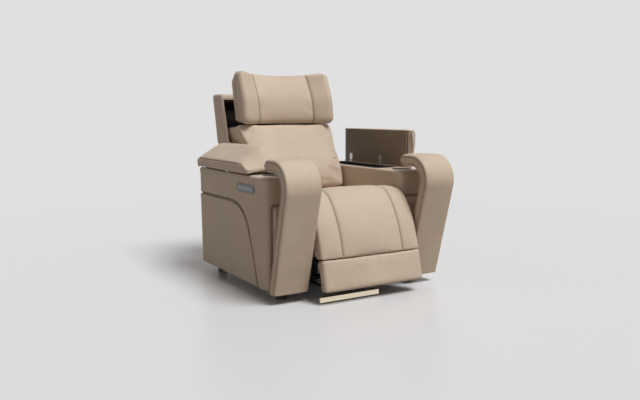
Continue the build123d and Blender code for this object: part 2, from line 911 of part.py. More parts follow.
def legrest_profile(x, drawn):
    front = legrest_front_y + drawn
    return [
        (legrest_pivot[0] + legrest_back_set, legrest_top_z, legrest_back_round),
        (front + legrest_lip_set, legrest_top_z, legrest_lip_round),
        (front + legrest_brow_set, legrest_top_z - legrest_brow_drop, legrest_front_round),
        (front, legrest_bottom_z + legrest_belly_rise, legrest_front_round),
        (front + legrest_hem_set, legrest_bottom_z, legrest_hem_round),
        (legrest_low_tube[0] - legrest_base_set, legrest_bottom_z, legrest_base_round),
    ]


def legrest_pad():
    return lofted(legrest_profile, swing_x - 2 * cushion_gap,
                  lambda x: channelled(x, legrest_seam_depth, legrest_edge_depth))


def guide_axis():
    low = (legrest_low_tube[0] + legrest_tube_radius + guide_radius - weld_lap, legrest_low_tube[1])
    start = plus(low, (slide_run[0] * guide_start, slide_run[1] * guide_start))
    length = (legrest_high_tube[1] - start[1] + guide_radius) / -slide_run[1]
    end = plus(start, (-slide_run[0] * length, -slide_run[1] * length))
    return start, end


def legrest_frame():
    x0, x1 = swing_x, swing_x + swing_thickness
    arm = link(legrest_pivot, legrest_high_tube, pivot_boss, x0, x1)
    arm += link(legrest_high_tube, legrest_low_tube, pivot_boss, x0, x1)
    arm -= cross_bar(legrest_pivot, pivot_pin_radius + pin_clearance, x0 - 1, x1 + 1)
    lug = link(coupler_pin, legrest_low_tube, link_radius, coupler_lug_x, coupler_lug_x + link_thickness)
    lug += cross_bar(coupler_pin, link_pin_radius, coupler_x - link_gap / 2, coupler_lug_x + 1)
    frame = both_sides(arm + lug)
    for place in (legrest_low_tube, legrest_high_tube):
        frame += cross_bar(place, legrest_tube_radius, -x0 - 1, x0 + 1)
    start, end = guide_axis()
    for x in (-guide_x, guide_x):
        frame += bar((x, *start), (x, *end), guide_radius)
    for x in (-guide_x, guide_x):
        low = plus(start, slide_run)
        high = plus(end, (-slide_run[0], -slide_run[1]))
        frame -= bar((x, *low), (x, *high), guide_rod_radius + pin_clearance)
    return frame


def foot_places():
    top = (foot_panel_front_y, foot_panel_top_z)
    bottom = plus(top, (slide_run[0] * foot_panel_height, slide_run[1] * foot_panel_height))
    return top, bottom


def inwards(place, depth):
    return plus(place, (-slide_out[0] * depth, -slide_out[1] * depth))


def foot_profile(x, drawn):
    top, bottom = foot_places()
    deep = foot_pad - cushion_gap
    front_top, front_low = inwards(top, drawn), inwards(bottom, drawn)
    return [
        (*front_top, foot_front_round),
        (*front_low, foot_front_round),
        (*inwards(bottom, deep), foot_back_round),
        (*inwards(top, deep), foot_back_round),
    ]


def foot_pad_cushion():
    return lofted(foot_profile, foot_half_width,
                  lambda x: edge_draw(x, foot_half_width, foot_edge_depth), foot_section_count)


def foot_board_panel():
    top, bottom = foot_places()
    rim = inwards(top, foot_pad), inwards(bottom, foot_pad)
    back = inwards(bottom, foot_pad + foot_board), inwards(top, foot_pad + foot_board)
    panel = side_prism([*rim, *back], -foot_half_width + foot_board, foot_half_width - foot_board)
    start, end = guide_axis()
    along = (start[0] - top[0]) * slide_run[0] + (start[1] - top[1]) * slide_run[1]
    for x in (-guide_x, guide_x):
        drop = 2 * link_radius - along
        reach = plus(start, (slide_run[0] * drop, slide_run[1] * drop))
        stop = plus(end, (slide_run[0] * link_radius, slide_run[1] * link_radius))
        panel += bar((x, *reach), (x, *stop), guide_rod_radius)
        seat = plus(reach, (-slide_run[0] * link_radius, -slide_run[1] * link_radius))
        face = (seat[0] - top[0]) * slide_out[0] + (seat[1] - top[1]) * slide_out[1]
        board_edge = plus(seat, (slide_out[0] * (-face - foot_pad), slide_out[1] * (-face - foot_pad)))
        panel += link(seat, board_edge, link_radius, x - link_radius, x + link_radius) & side_prism(
            [rim[0], rim[1], inwards(bottom, 3 * foot_pad), inwards(top, 3 * foot_pad)],
            x - 2 * link_radius, x + 2 * link_radius)
    return panel


def drive_crank():
    tube_end = plate_x + plate_thickness + plate_gap / 2
    tube = cross_bar(crank_pivot, drive_tube_radius, -tube_end, tube_end)
    crank = link(crank_pivot, crank_end, link_radius, crank_x, crank_x + link_thickness)
    crank += cross_bar(crank_end, link_pin_radius, crank_x, coupler_x + link_thickness + link_gap / 2)
    lever = link(crank_pivot, legrest_lever_tip, lever_tip_radius, -actuator_x - lever_thickness / 2,
                 -actuator_x + lever_thickness / 2)
    return tube + both_sides(crank) + lever


def coupler_links():
    x0, x1 = coupler_x, coupler_x + link_thickness
    coupler = link(crank_end, coupler_pin, link_radius, x0, x1)
    coupler -= cross_bar(crank_end, link_pin_radius + pin_clearance, x0 - 1, x1 + 1)
    coupler -= cross_bar(coupler_pin, link_pin_radius + open_pivot_clearance, x0 - 1, x1 + 1)
    return Compound(children=[mirrored(coupler), coupler])


# Actuators: a gearbox with a motor and a tube, and a rod with a fork over a lever tip

legrest_half = math.radians(legrest_travel_angle / 2)
legrest_lever_tip = plus(crank_pivot, (legrest_lever * math.sin(legrest_half),
                                       -legrest_lever * math.cos(legrest_half)))
legrest_rod_z = crank_pivot[1] - legrest_lever * (1 + math.cos(legrest_half)) / 2
recline_half = math.radians(recline_travel_angle / 2)
recline_lever_tip = plus(back_pivot, (recline_lever * math.sin(recline_half),
                                      -recline_lever * math.cos(recline_half)))
recline_rod_z = back_pivot[1] - recline_lever * (1 + math.cos(recline_half)) / 2


def actuator_body(tube_length, tube_radius, rod_radius, length, width, height):
    # Along local Z: gearbox from 0, tube above it, motor beside the tube's start.
    side = width - 2 * tube_radius
    body = block(-side, width - side, -height / 2, height / 2, 0, length)
    body += Pos(0, 0, length + tube_length / 2) * Cylinder(tube_radius, tube_length)
    body += Pos(-side + motor_radius, 0, -motor_length / 2) * Cylinder(motor_radius, motor_length)
    bore = length + tube_length
    return body - Pos(0, 0, bore / 2 + bore_floor) * Cylinder(rod_radius + pin_clearance, bore)


def actuator_fork(rod_radius, tip, rod_start):
    # The fork's cheeks stand either side of a lever tip at local height tip.
    low = tip - fork_length / 2
    inner = lever_thickness / 2 + fork_gap
    fork = Pos(0, 0, (rod_start + low) / 2) * Cylinder(rod_radius, low - rod_start)
    fork += block(-inner - fork_cheek, inner + fork_cheek, -fork_height / 2, fork_height / 2,
                  low - fork_base, low)
    for x in (-inner - fork_cheek, inner):
        fork += block(x, x + fork_cheek, -fork_height / 2, fork_height / 2, low, tip + fork_length / 2)
    return fork


def legrest_actuator_plane():
    return Plane((-actuator_x, gearbox_length / 2, legrest_rod_z), x_dir=(1, 0, 0), z_dir=(0, -1, 0))


def recline_actuator_plane():
    return Plane((actuator_x, -gearbox_length / 2, recline_rod_z), x_dir=(-1, 0, 0), z_dir=(0, 1, 0))


def legrest_actuator():
    body = actuator_body(actuator_tube_length, actuator_tube_radius, actuator_rod_radius,
                         gearbox_length, gearbox_width, gearbox_height)
    return legrest_actuator_plane() * body


def legrest_actuator_rod():
    tip = gearbox_length / 2 - legrest_lever_tip[0]
    return legrest_actuator_plane() * actuator_fork(actuator_rod_radius, tip, gearbox_length / 4)


def recline_actuator():
    body = actuator_body(recline_tube_length, actuator_tube_radius, actuator_rod_radius,
                         gearbox_length, gearbox_width, gearbox_height)
    return recline_actuator_plane() * body


def recline_actuator_rod():
    tip = recline_lever_tip[0] + gearbox_length / 2
    stroke = 2 * recline_lever * math.sin(recline_half)
    return recline_actuator_plane() * actuator_fork(actuator_rod_radius, tip, stroke + fork_base)


# Back


def shell_back_at(z):
    return shell_back_y + lean_slope * (z - shell_bottom_z)


def cushion_back_at(z):
    return cushion_back_y + lean_slope * (z - back_bottom_z)


def shell_slab(z0, z1, front0, front1, depth=0.0):
    return [(front0, z0), (front1, z1), (shell_back_at(z1) - depth, z1), (shell_back_at(z0) - depth, z0)]


def back_shell():
    wing_slope = (wing_top_y - wing_front_y) / (shell_top_z - shell_ledge_z)
    flange_top = cushion_back_at(shell_ledge_z) + wing_depth_gap
    flange_low = cushion_back_at(shell_bottom_z) + wing_depth_gap
    half = shell_half_width
    upper = side_prism(shell_slab(shell_ledge_z, shell_top_z, wing_front_y, wing_top_y), -half, half)
    upper = fillet(upper.edges(), shell_round)
    flange_half = cushion_half_width
    ledge = shell_ledge_z + shell_wall
    lower = side_prism(shell_slab(shell_bottom_z, ledge, flange_low,
                                  flange_top + lean_slope * shell_wall), -flange_half, flange_half)
    shell = upper + lower
    front = wing_front_y - wing_slope * shell_wall - 2 * shell_half_width
    room = side_prism(shell_slab(ledge, shell_top_z - shell_rail_height, front, front, shell_wall),
                      -half + shell_wall, half - shell_wall)
    mouth = side_prism(shell_slab(ledge, 2 * shell_top_z, front, front, shell_rail_depth),
                       -half + shell_wall, half - shell_wall)
    hollow = side_prism(shell_slab(shell_bottom_z - shell_wall, ledge + shell_wall, front, front,
                                   shell_wall), -flange_half + shell_flange, flange_half - shell_flange)
    bracket_top = upright_bottom_z + 2 * upright_width
    notch = side_prism(shell_slab(shell_bottom_z - shell_wall, bracket_top, front, front, shell_wall),
                       -2 * half, 2 * half)
    return shell - room - mouth - hollow - notch


def upright_at(z):
    return cushion_back_at(z) + cushion_gap + upright_width / 2


def back_frame():
    half = upright_width / 2
    x0, x1 = upright_x, upright_x + upright_width
    upright = side_prism([
        (upright_at(upright_bottom_z) - half, upright_bottom_z),
        (upright_at(upright_bottom_z) + half, upright_bottom_z),
        (upright_at(upright_top_z) + half, upright_top_z),
        (upright_at(upright_top_z) - half, upright_top_z),
    ], x0, x1)
    for z in shell_arm_zs:
        wall = shell_back_at(z) - shell_wall
        rise = shell_arm_height * lean_slope / 2
        upright += side_prism([
            (upright_at(z), z - shell_arm_height / 2),
            (wall - rise, z - shell_arm_height / 2),
            (wall + rise, z + shell_arm_height / 2),
            (upright_at(z), z + shell_arm_height / 2),
        ], x0, x1)
    hip = (upright_at(upright_bottom_z + half), upright_bottom_z + half)
    side = link(back_pivot, hip, hip_radius, swing_x, swing_x + swing_thickness)
    side += block(x0, swing_x + weld_lap, hip[0] - hip_half, hip[0] + hip_half, hip[1] - hip_half,
                  hip[1] + hip_half)
    side -= cross_bar(back_pivot, pivot_pin_radius + pin_clearance, swing_x - 1,
                      swing_x + swing_thickness + 1)
    lug_x = upright_x - headrest_lug - swing_gap
    top = (upright_at(upright_top_z - half), upright_top_z - half)
    lug = link(top, headrest_pivot, headrest_lug_radius, lug_x, upright_x + 1)
    lug += cross_bar(headrest_pivot, headrest_pin_radius, lug_x - headrest_lug - 2 * swing_gap, upright_x)
    frame = both_sides(upright + side + lug)
    inner = swing_x - swing_gap
    axle = cross_bar(back_pivot, back_tube_radius, -swing_x - 1, swing_x + 1)
    pocket = cross_bar(back_pivot, pivot_pin_radius + pin_clearance, inner - 1, swing_x + 2)
    frame += axle - both_sides(pocket)
    y0, z0 = headrest_actuator_origin()
    brace_z = z0 - actuator_seat_drop
    for z in (brace_z, upright_top_z - brace_drop):
        frame += cross_bar((upright_at(z), z), brace_tube_radius, -x0 - weld_lap, x0 + weld_lap)
    lever_x = actuator_x - lever_thickness / 2
    frame += link(back_pivot, recline_lever_tip, lever_tip_radius, lever_x, lever_x + lever_thickness)
    front = upright_at(brace_z) - y0
    seat = block(-actuator_seat_half, actuator_seat_half, front, actuator_seat_reach, -actuator_seat, 0)
    web = block(-actuator_seat / 2, actuator_seat / 2, front, actuator_seat_reach, -actuator_seat_drop, 0)
    return frame + headrest_actuator_plane() * (seat + web)


def back_profile(x, drawn):
    rear_z = back_top_z - back_rear_drop
    foot = (back_front_y, back_bottom_z)
    lumbar = plus(foot, plus(back_lumbar_set, (drawn, 0)))
    shoulder = plus(foot, plus(back_shoulder_set, (shoulder_set_share * drawn, 0)))
    neck_y = back_front_y + back_neck_set + neck_set_share * drawn
    neck_z = back_top_z - back_neck_drop - neck_drop_share * drawn
    return [
        (back_front_y + drawn, back_bottom_z, back_foot_round),
        (*lumbar, back_lumbar_round),
        (*shoulder, back_shoulder_round),
        (neck_y, neck_z, back_neck_round),
        (back_front_y + back_top_set, back_top_z - top_drop_share * drawn, back_top_round),
        (cushion_back_at(rear_z), rear_z, back_rear_round),
        (cushion_back_y, back_bottom_z, back_rear_round),
    ]


def back_cushion():
    return lofted(back_profile, cushion_half_width,
                  lambda x: edge_draw(x, cushion_half_width, back_edge_depth), back_section_count)


def back_lining():
    low = upright_top_z + upright_width / 2
    high = shell_top_z - shell_rail_height - lining
    depth = shell_wall
    return side_prism([
        (shell_back_at(low) - depth - lining, low),
        (shell_back_at(high) - depth - lining, high),
        (shell_back_at(high) - depth, high),
        (shell_back_at(low) - depth, low),
    ], -shell_half_width + shell_wall + lining, shell_half_width - shell_wall - lining)


# Headrest


def headrest_lever_tip():
    angle = math.radians(headrest_lever_angle)
    return plus(headrest_pivot, (headrest_lever * math.cos(angle), headrest_lever * math.sin(angle)))


def headrest_actuator_origin():
    lean = math.radians(back_lean)
    down = (-headrest_actuator_length * math.sin(lean), -headrest_actuator_length * math.cos(lean))
    return plus(headrest_lever_tip(), down)


def headrest_actuator_plane():
    lean = math.radians(back_lean)
    return Plane((0, *headrest_actuator_origin()), x_dir=(1, 0, 0), z_dir=(0, math.sin(lean), math.cos(lean)))


def headrest_actuator():
    width, depth, height = headrest_gearbox
    radius = headrest_actuator_radius
    top = height + headrest_tube_length
    motor = bar((0, 0, height / 2), (headrest_motor_length, 0, height / 2), headrest_motor_radius)
    body = block(-width / 2, width / 2, -depth / 2, depth / 2, 0, height) + motor
    body += bar((0, 0, height), (0, 0, top), radius + headrest_tube_wall)
    body -= bar((0, 0, headrest_bore_start), (0, 0, top + weld_lap), radius + pin_clearance)
    return headrest_actuator_plane() * body


def headrest_actuator_rod():
    return headrest_actuator_plane() * actuator_fork(headrest_actuator_radius, headrest_actuator_length,
                                                     headrest_rod_start)


def headrest_profile(x, drawn):
    across = x / headrest_half_width
    dish = headrest_recess * (1 - across * across)
    dip = headrest_top_dip * (1 - across * across)
    low, high = headrest_bottom_z, headrest_top_z - dip - shoulder_draw_share * drawn
    front = headrest_front_y + dish + drawn
    brow_y = front + headrest_brow_set - brow_dish_share * dish
    return [
        (front, low + headrest_chin_rise, headrest_chin_round),
        (*plus((front, low), headrest_cheek_set), headrest_cheek_round),
        (brow_y, high - headrest_brow_drop, headrest_top_round),
        (headrest_back_y + headrest_crown_set, high, headrest_top_round),
        (headrest_back_top_y, high - headrest_rear_drop, headrest_rear_round),
        (headrest_back_y, low, headrest_base_round),
    ]


def headrest_pad():
    return lofted(headrest_profile, headrest_half_width, headrest_drawn)


def headrest_drawn(x):
    return (seam_draw(x, headrest_seam_x, headrest_seam_depth, headrest_seam_width)
            + edge_draw(x, headrest_half_width, headrest_edge_depth))


def headrest_back_at(z):
    rise = headrest_top_z - headrest_rear_drop - headrest_top_dip - headrest_bottom_z
    return headrest_back_y + (headrest_back_top_y - headrest_back_y) * (z - headrest_bottom_z) / rise


def headrest_frame():
    gap = headrest_plate_gap
    low, high = headrest_bottom_z - headrest_plate_foot, headrest_top_z - headrest_plate_drop
    half = headrest_plate_half_width
    y0, y1 = headrest_back_at(low) + gap, headrest_back_at(high) + gap
    plate = side_prism([(y0, low), (y1, high), (y1 + headrest_plate, high), (y0 + headrest_plate, low)],
                       -half, half)
    x1 = upright_x - headrest_lug - 2 * swing_gap
    x0 = x1 - headrest_lug
    foot = (y0 + headrest_plate / 2, headrest_pivot[1] + headrest_lug_rise)
    lug = link(headrest_pivot, foot, headrest_lug_radius, x0, x1)
    lug += block(x0, x1, foot[0] - headrest_plate / 2, foot[0] + headrest_plate / 2, foot[1],
                 headrest_bottom_z - cushion_gap - 1)
    lug -= cross_bar(headrest_pivot, headrest_pin_radius + pin_clearance, x0 - 1, x1 + 1)
    lever = link((y0 + headrest_plate, low + headrest_lever_rise), headrest_lever_tip(), lever_tip_radius,
                 -lever_thickness / 2, lever_thickness / 2)
    return plate + both_sides(lug) + lever


# Control plate and buttons, on the left side

panel_face_x = -arm_outer_x - panel_proud
button_pitch = panel_length / (button_count + 1)
button_ys = [panel_y + button_pitch * (i - (button_count - 1) / 2) for i in range(button_count)]


def control_plate():
    x1 = panel_face_x + panel_depth
    plate = block(panel_face_x, x1, panel_y - panel_length / 2, panel_y + panel_length / 2,
                  panel_z - panel_height / 2, panel_z + panel_height / 2)
    plate = fillet(plate.edges().filter_by(Axis.X), cover_round)
    for y in button_ys:
        w = button_width / 2 + button_clearance
        h = button_height / 2 + button_clearance
        plate -= block(panel_face_x - 1, x1 - panel_floor, y - w, y + w, panel_z - h, panel_z + h)
    return plate


def control_pocket():
    return block(-2 * arm_outer_x, panel_face_x + panel_depth, panel_y - panel_length / 2 - bolt_clearance,
                 panel_y + panel_length / 2 + bolt_clearance, panel_z - panel_height / 2 - bolt_clearance,
                 panel_z + panel_height / 2 + bolt_clearance)


def push_button(y):
    x0 = panel_face_x - button_proud
    x1 = panel_face_x + panel_depth - panel_floor - button_travel - bolt_clearance
    cap = block(x0, x1, y - button_width / 2, y + button_width / 2, panel_z - button_height / 2,
                panel_z + button_height / 2)
    return fillet(cap.faces().sort_by(Axis.X)[0].edges(), button_round)


def arm_nodes():
    right = {
        "arm_outer_panel": arm_outer_panel(),
        "arm_inner_panel": arm_inner_panel(),
        "arm_boards": arm_boards(),
        "arm_deck": arm_deck(),
        "side_pad": side_pad(),
        "front_pads": front_pads(),
        "front_slab": front_slab(),
        "cup_holder": cup_holder(),
        "storage_tray": storage_tray(),
    }
    nodes = {}
    for name, shape in right.items():
        nodes["right_" + name] = shape
        nodes["left_" + name] = mirrored(shape)
    nodes["left_arm_outer_panel"] -= control_pocket()
    bolts = slab_bolts()
    nodes["slab_bolts"] = Compound(children=bolts + [mirrored(bolt) for bolt in bolts])
    return nodes


def lid_nodes():
    closed = {
        "lid_board": lid_board_panel(),
        "lid_pad": lid_pad(),
        "lid_hinge_leaves": Compound(children=[hinge_leaf_moving(y) for y in hinge_ys]),
    }
    nodes = {}
    for name, shape in closed.items():
        nodes["left_" + name] = mirrored(shape)
        nodes["right_" + name] = opened(shape)
    fixed = [hinge_leaf_fixed(y) for y in hinge_ys]
    nodes["fixed_hinge_leaves"] = Compound(children=fixed + [mirrored(leaf) for leaf in fixed])
    return nodes


def other_nodes():
    nodes = {
        "base_frame": base_frame(),
        "feet": feet(),
        "mechanism_plates": mechanism_plates(),
        "power_supply": supply_box(),
        "light_channel": light_channel(),
        "light_diffuser": light_diffuser_strip(),
        "seat_frame": seat_frame(),
        "seat_springs": seat_springs(),
        "seat_cushion": seat_cushion(),
        "legrest_frame": legrest_frame(),
        "legrest_pad": legrest_pad(),
        "foot_board": foot_board_panel(),
        "foot_pad": foot_pad_cushion(),
        "drive_crank": drive_crank(),
        "coupler_links": coupler_links(),
        "legrest_actuator": legrest_actuator(),
        "legrest_actuator_rod": legrest_actuator_rod(),
        "recline_actuator": recline_actuator(),
        "recline_actuator_rod": recline_actuator_rod(),
        "back_shell": back_shell(),
        "back_frame": back_frame(),
        "back_cushion": back_cushion(),
        "back_lining": back_lining(),
        "headrest_frame": headrest_frame(),
        "headrest_pad": headrest_pad(),
        "headrest_actuator": headrest_actuator(),
        "headrest_actuator_rod": headrest_actuator_rod(),
        "control_plate": control_plate(),
    }
    for i, y in enumerate(button_ys):
        nodes[f"button_{i + 1}"] = push_button(y)
    return nodes


os.makedirs("parts", exist_ok=True)
for node, shape in {**arm_nodes(), **lid_nodes(), **other_nodes()}.items():
    export_step(shape, f"parts/{node}.step")
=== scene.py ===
import json
import math

import bmesh
import bpy
import numpy as np
from mathutils import Matrix, Vector, noise


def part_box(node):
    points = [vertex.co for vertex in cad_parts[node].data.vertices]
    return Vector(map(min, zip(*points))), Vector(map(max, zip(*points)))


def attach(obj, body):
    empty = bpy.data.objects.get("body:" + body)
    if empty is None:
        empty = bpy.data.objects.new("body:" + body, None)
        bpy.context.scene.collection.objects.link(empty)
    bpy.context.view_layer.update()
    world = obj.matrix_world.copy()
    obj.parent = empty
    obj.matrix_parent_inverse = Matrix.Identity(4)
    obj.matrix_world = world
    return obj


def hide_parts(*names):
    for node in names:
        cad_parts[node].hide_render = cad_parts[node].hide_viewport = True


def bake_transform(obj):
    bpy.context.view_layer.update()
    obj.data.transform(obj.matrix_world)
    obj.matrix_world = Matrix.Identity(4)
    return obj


# Power recliner in taupe leather. Metres, the front faces -Y, the floor is at Z 0.

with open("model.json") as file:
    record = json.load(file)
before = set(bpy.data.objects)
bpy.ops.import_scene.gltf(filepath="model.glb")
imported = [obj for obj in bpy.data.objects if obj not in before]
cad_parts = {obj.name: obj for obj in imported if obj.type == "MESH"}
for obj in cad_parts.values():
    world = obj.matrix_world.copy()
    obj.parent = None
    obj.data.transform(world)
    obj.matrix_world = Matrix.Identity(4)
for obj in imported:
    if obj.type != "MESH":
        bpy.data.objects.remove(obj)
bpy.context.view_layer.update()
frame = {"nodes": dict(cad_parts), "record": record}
nodes = frame["nodes"]
sides = {"left": -1.0, "right": 1.0}
tiny = 1e-9     # guards a division
noSeam = 1.0    # distance given to points that no seam reaches
print("frame loaded:", len(nodes), "nodes")


# Shader node groups, each built once and placed in several materials

def makeGroup(name, outputs, scale=None):
    # Groups with textures take a place, and a scale that each material sets.
    group = bpy.data.node_groups.new(name, "ShaderNodeTree")
    if scale is not None:
        group.interface.new_socket("Vector", in_out="INPUT", socket_type="NodeSocketVector")
        socket = group.interface.new_socket("Scale", in_out="INPUT", socket_type="NodeSocketFloat")
        socket.default_value = scale
    for label in outputs:
        group.interface.new_socket(label, in_out="OUTPUT", socket_type="NodeSocketFloat")
    return group, group.nodes.new("NodeGroupInput"), group.nodes.new("NodeGroupOutput")


def addNode(tree, kind, values=None, **settings):
    node = tree.nodes.new("ShaderNode" + kind)
    for key, value in settings.items():
        setattr(node, key, value)
    for key, value in (values or {}).items():
        node.inputs[key].default_value = value
    return node


def addTexture(group, entry, kind, share, values, **settings):
    # A texture at the group's place; share multiplies the group's scale.
    texture = addNode(group, kind, values, **settings)
    group.links.new(entry.outputs["Vector"], texture.inputs["Vector"])
    group.links.new(mathNode(group, "MULTIPLY", entry.outputs["Scale"], share), texture.inputs["Scale"])
    return texture.outputs


def mathNode(tree, operation, first, second, clamp=False):
    node = addNode(tree, "Math", operation=operation, use_clamp=clamp)
    for i, value in enumerate((first, second)):
        if isinstance(value, (int, float)):
            node.inputs[i].default_value = value
        else:
            tree.links.new(value, node.inputs[i])
    return node.outputs[0]


def spread(tree, value, low=0.0, high=1.0, fromLow=0.0, fromHigh=1.0):
    node = addNode(tree, "MapRange", {"From Min": fromLow, "From Max": fromHigh,
                                      "To Min": low, "To Max": high})
    tree.links.new(value, node.inputs["Value"])
    return node.outputs["Result"]


pebble = {"scale": 700.0, "cells": ((1.0, 0.6), (0.43, 0.4)), "random": 0.9, "poreCurve": 3.0}


def pebbleGrain():
    # Leather pebbles: rounded cells of two sizes, with pores between them.
    group, entry, leave = makeGroup("pebbleGrain", ["Height", "Pores"], pebble["scale"])
    cells = []
    for share, weight in pebble["cells"]:
        cell = addTexture(group, entry, "TexVoronoi", share, {"Randomness": pebble["random"]},
                          feature="SMOOTH_F1")
        cells.append(mathNode(group, "MULTIPLY", cell["Distance"], weight))
    mixed = mathNode(group, "ADD", *cells)
    group.links.new(mathNode(group, "SUBTRACT", 1.0, mixed), leave.inputs["Height"])
    group.links.new(mathNode(group, "POWER", mixed, pebble["poreCurve"], True), leave.inputs["Pores"])
    return group


drift = {"scale": 4.0, "span": (0.32, 0.68),
         "clouds": ((1.0, 0.7, {"Detail": 3.0, "Roughness": 0.55, "Distortion": 0.4}),
                    (9.0, 0.3, {"Detail": 5.0, "Roughness": 0.6}))}


def hideDrift():
    # Slow changes of tone across a hide, with a little cloudiness inside them.
    group, entry, leave = makeGroup("hideDrift", ["Tone"], drift["scale"])
    tones = []
    for share, weight, values in drift["clouds"]:
        cloud = addTexture(group, entry, "TexNoise", share, values)
        tones.append(mathNode(group, "MULTIPLY", cloud["Fac"], weight))
    tone = spread(group, mathNode(group, "ADD", *tones), 0.0, 1.0, *drift["span"])
    group.links.new(tone, leave.inputs["Tone"])
    return group


crease = {"scale": 26.0, "cloud": {"Detail": 2.0, "Roughness": 0.5, "Distortion": 1.6}, "middle": 0.5,
          "gain": 2.4, "curve": 0.6}


def softCrease():
    # Shallow creases as leather gets where it is sat on.
    group, entry, leave = makeGroup("softCrease", ["Height"], crease["scale"])
    bend = addTexture(group, entry, "TexNoise", 1.0, crease["cloud"])
    away = mathNode(group, "ABSOLUTE", mathNode(group, "SUBTRACT", bend["Fac"], crease["middle"]), 0.0)
    steep = mathNode(group, "MULTIPLY", away, crease["gain"])
    height = mathNode(group, "POWER", steep, crease["curve"], True)
    group.links.new(height, leave.inputs["Height"])
    return group


def seamShadeAndRubMarks():
    # What the mesh code stored on the points: painted shade along the seam valleys, and rubbed edges.
    group, _, leave = makeGroup("seamShadeAndRubMarks", ["Seam", "Rub"])
    for label in ("seam", "rub"):
        stored = addNode(group, "Attribute", attribute_name=label)
        group.links.new(stored.outputs["Fac"], leave.inputs[label.capitalize()])
    return group


scuff = {"scale": 220.0, "span": (0.4, 0.7), "speck": (1.0, {"Detail": 4.0, "Roughness": 0.65}),
         "cloud": (0.06, {"Detail": 4.0, "Roughness": 0.7, "Distortion": 0.8})}


def fineScuff():
    # Moulding texture and faint rub marks of plastic and painted metal.
    group, entry, leave = makeGroup("fineScuff", ["Height", "Scuff"], scuff["scale"])
    speck = addTexture(group, entry, "TexNoise", *scuff["speck"])
    cloud = addTexture(group, entry, "TexNoise", *scuff["cloud"])
    group.links.new(speck["Fac"], leave.inputs["Height"])
    group.links.new(spread(group, cloud["Fac"], 0.0, 1.0, *scuff["span"]), leave.inputs["Scuff"])
    return group


groups = {make.__name__: make() for make in (pebbleGrain, hideDrift, softCrease, seamShadeAndRubMarks, fineScuff)}


# Materials

def linear(colour):
    # Screen colour, 0 to 255, as the linear value that a shader takes.
    share = [c / 255 for c in colour]
    return [c / 12.92 if c <= 0.04045 else ((c + 0.055) / 1.055) ** 2.4 for c in share] + [1.0]


def newMaterial(name, **shader):
    material = bpy.data.materials.new(name)
    material.use_nodes = True
    tree = material.node_tree
    principled = tree.nodes["Principled BSDF"]
    for key, value in shader.items():
        principled.inputs[key].default_value = value
    return material, tree, principled


def objectPlace(tree):
    return addNode(tree, "TexCoord").outputs["Object"]


def placeGroup(tree, name, place=None, **values):
    node = addNode(tree, "Group", values, node_tree=groups[name])
    if place is not None:
        tree.links.new(place, node.inputs["Vector"])
    return node.outputs


def blendColour(tree, factor, first, second):
    node = addNode(tree, "Mix", data_type="RGBA")
    tree.links.new(factor, node.inputs[0])
    for i, value in ((6, first), (7, second)):
        if isinstance(value, list):
            node.inputs[i].default_value = value
        else:
            tree.links.new(value, node.inputs[i])
    return node.outputs[2]


def bump(tree, height, strength, distance, normal=None):
    node = addNode(tree, "Bump", {"Strength": strength, "Distance": distance})
    tree.links.new(height, node.inputs["Height"])
    if normal is not None:
        tree.links.new(normal, node.inputs["Normal"])
    return node.outputs["Normal"]


def bands(tree, place, direction, values):
    wave = addNode(tree, "TexWave", values, wave_type="BANDS", bands_direction=direction)
    tree.links.new(place, wave.inputs["Vector"])
    return wave.outputs["Fac"]


def connect(tree, shader, colour, rough=None, normal=None):
    for socket, source in (("Base Color", colour), ("Roughness", rough), ("Normal", normal)):
        if source is not None:
            tree.links.new(source, shader.inputs[socket])


def leather(name, look):
    material, tree, shader = newMaterial(name, **{"Specular IOR Level": look["gloss"],
                                                 "Sheen Weight": look["sheen"],
                                                 "Sheen Roughness": look["sheenRough"]})
    place = objectPlace(tree)
    grain = placeGroup(tree, "pebbleGrain", place, Scale=look["grain"])
    tone = placeGroup(tree, "hideDrift", place, Scale=look["drift"])["Tone"]
    worn = placeGroup(tree, "softCrease", place, Scale=look["crease"])["Height"]
    marks = placeGroup(tree, "seamShadeAndRubMarks")
    colour = blendColour(tree, tone, linear(look["dark"]), linear(look["light"]))
    # Pores and rubbed edges tint the colour, and the seam mark paints shade into the seam valleys.
    for mask, share, over in ((grain["Pores"], "poreShare", "pore"), (marks["Rub"], "rubShare", "rubbed"),
                              (marks["Seam"], "seamShadeShare", "seam")):
        colour = blendColour(tree, mathNode(tree, "MULTIPLY", mask, look[share]), colour, linear(look[over]))
    rough = mathNode(tree, "ADD", spread(tree, tone, *look["rough"]),
                     mathNode(tree, "MULTIPLY", grain["Pores"], look["poreRough"]))
    rough = mathNode(tree, "SUBTRACT", rough, mathNode(tree, "MULTIPLY", marks["Rub"], look["rubShine"]))
    folds = bump(tree, worn, *look["creaseBump"])
    connect(tree, shader, colour, rough, bump(tree, grain["Height"], *look["grainBump"], folds))
    return material


def moulded(name, look):
    material, tree, shader = newMaterial(name)
    marks = placeGroup(tree, "fineScuff", objectPlace(tree), Scale=look["grain"])
    colour = blendColour(tree, marks["Scuff"], linear(look["colour"]), linear(look["scuffed"]))
    connect(tree, shader, colour, spread(tree, marks["Scuff"], *look["rough"]),
            bump(tree, marks["Height"], *look["bump"]))
    return material


def brushed(name, look):
    # Metal with fine lines along one direction.
    material, tree, shader = newMaterial(name, Metallic=1.0)
    stretch = addNode(tree, "Mapping", {"Scale": look["stretch"]})
    tree.links.new(objectPlace(tree), stretch.inputs["Vector"])
    lines = placeGroup(tree, "fineScuff", stretch.outputs["Vector"], Scale=look["grain"])["Height"]
    colour = blendColour(tree, lines, linear(look["colour"]), linear(look["scuffed"]))
    connect(tree, shader, colour, spread(tree, lines, *look["rough"]), bump(tree, lines, *look["bump"]))
    return material


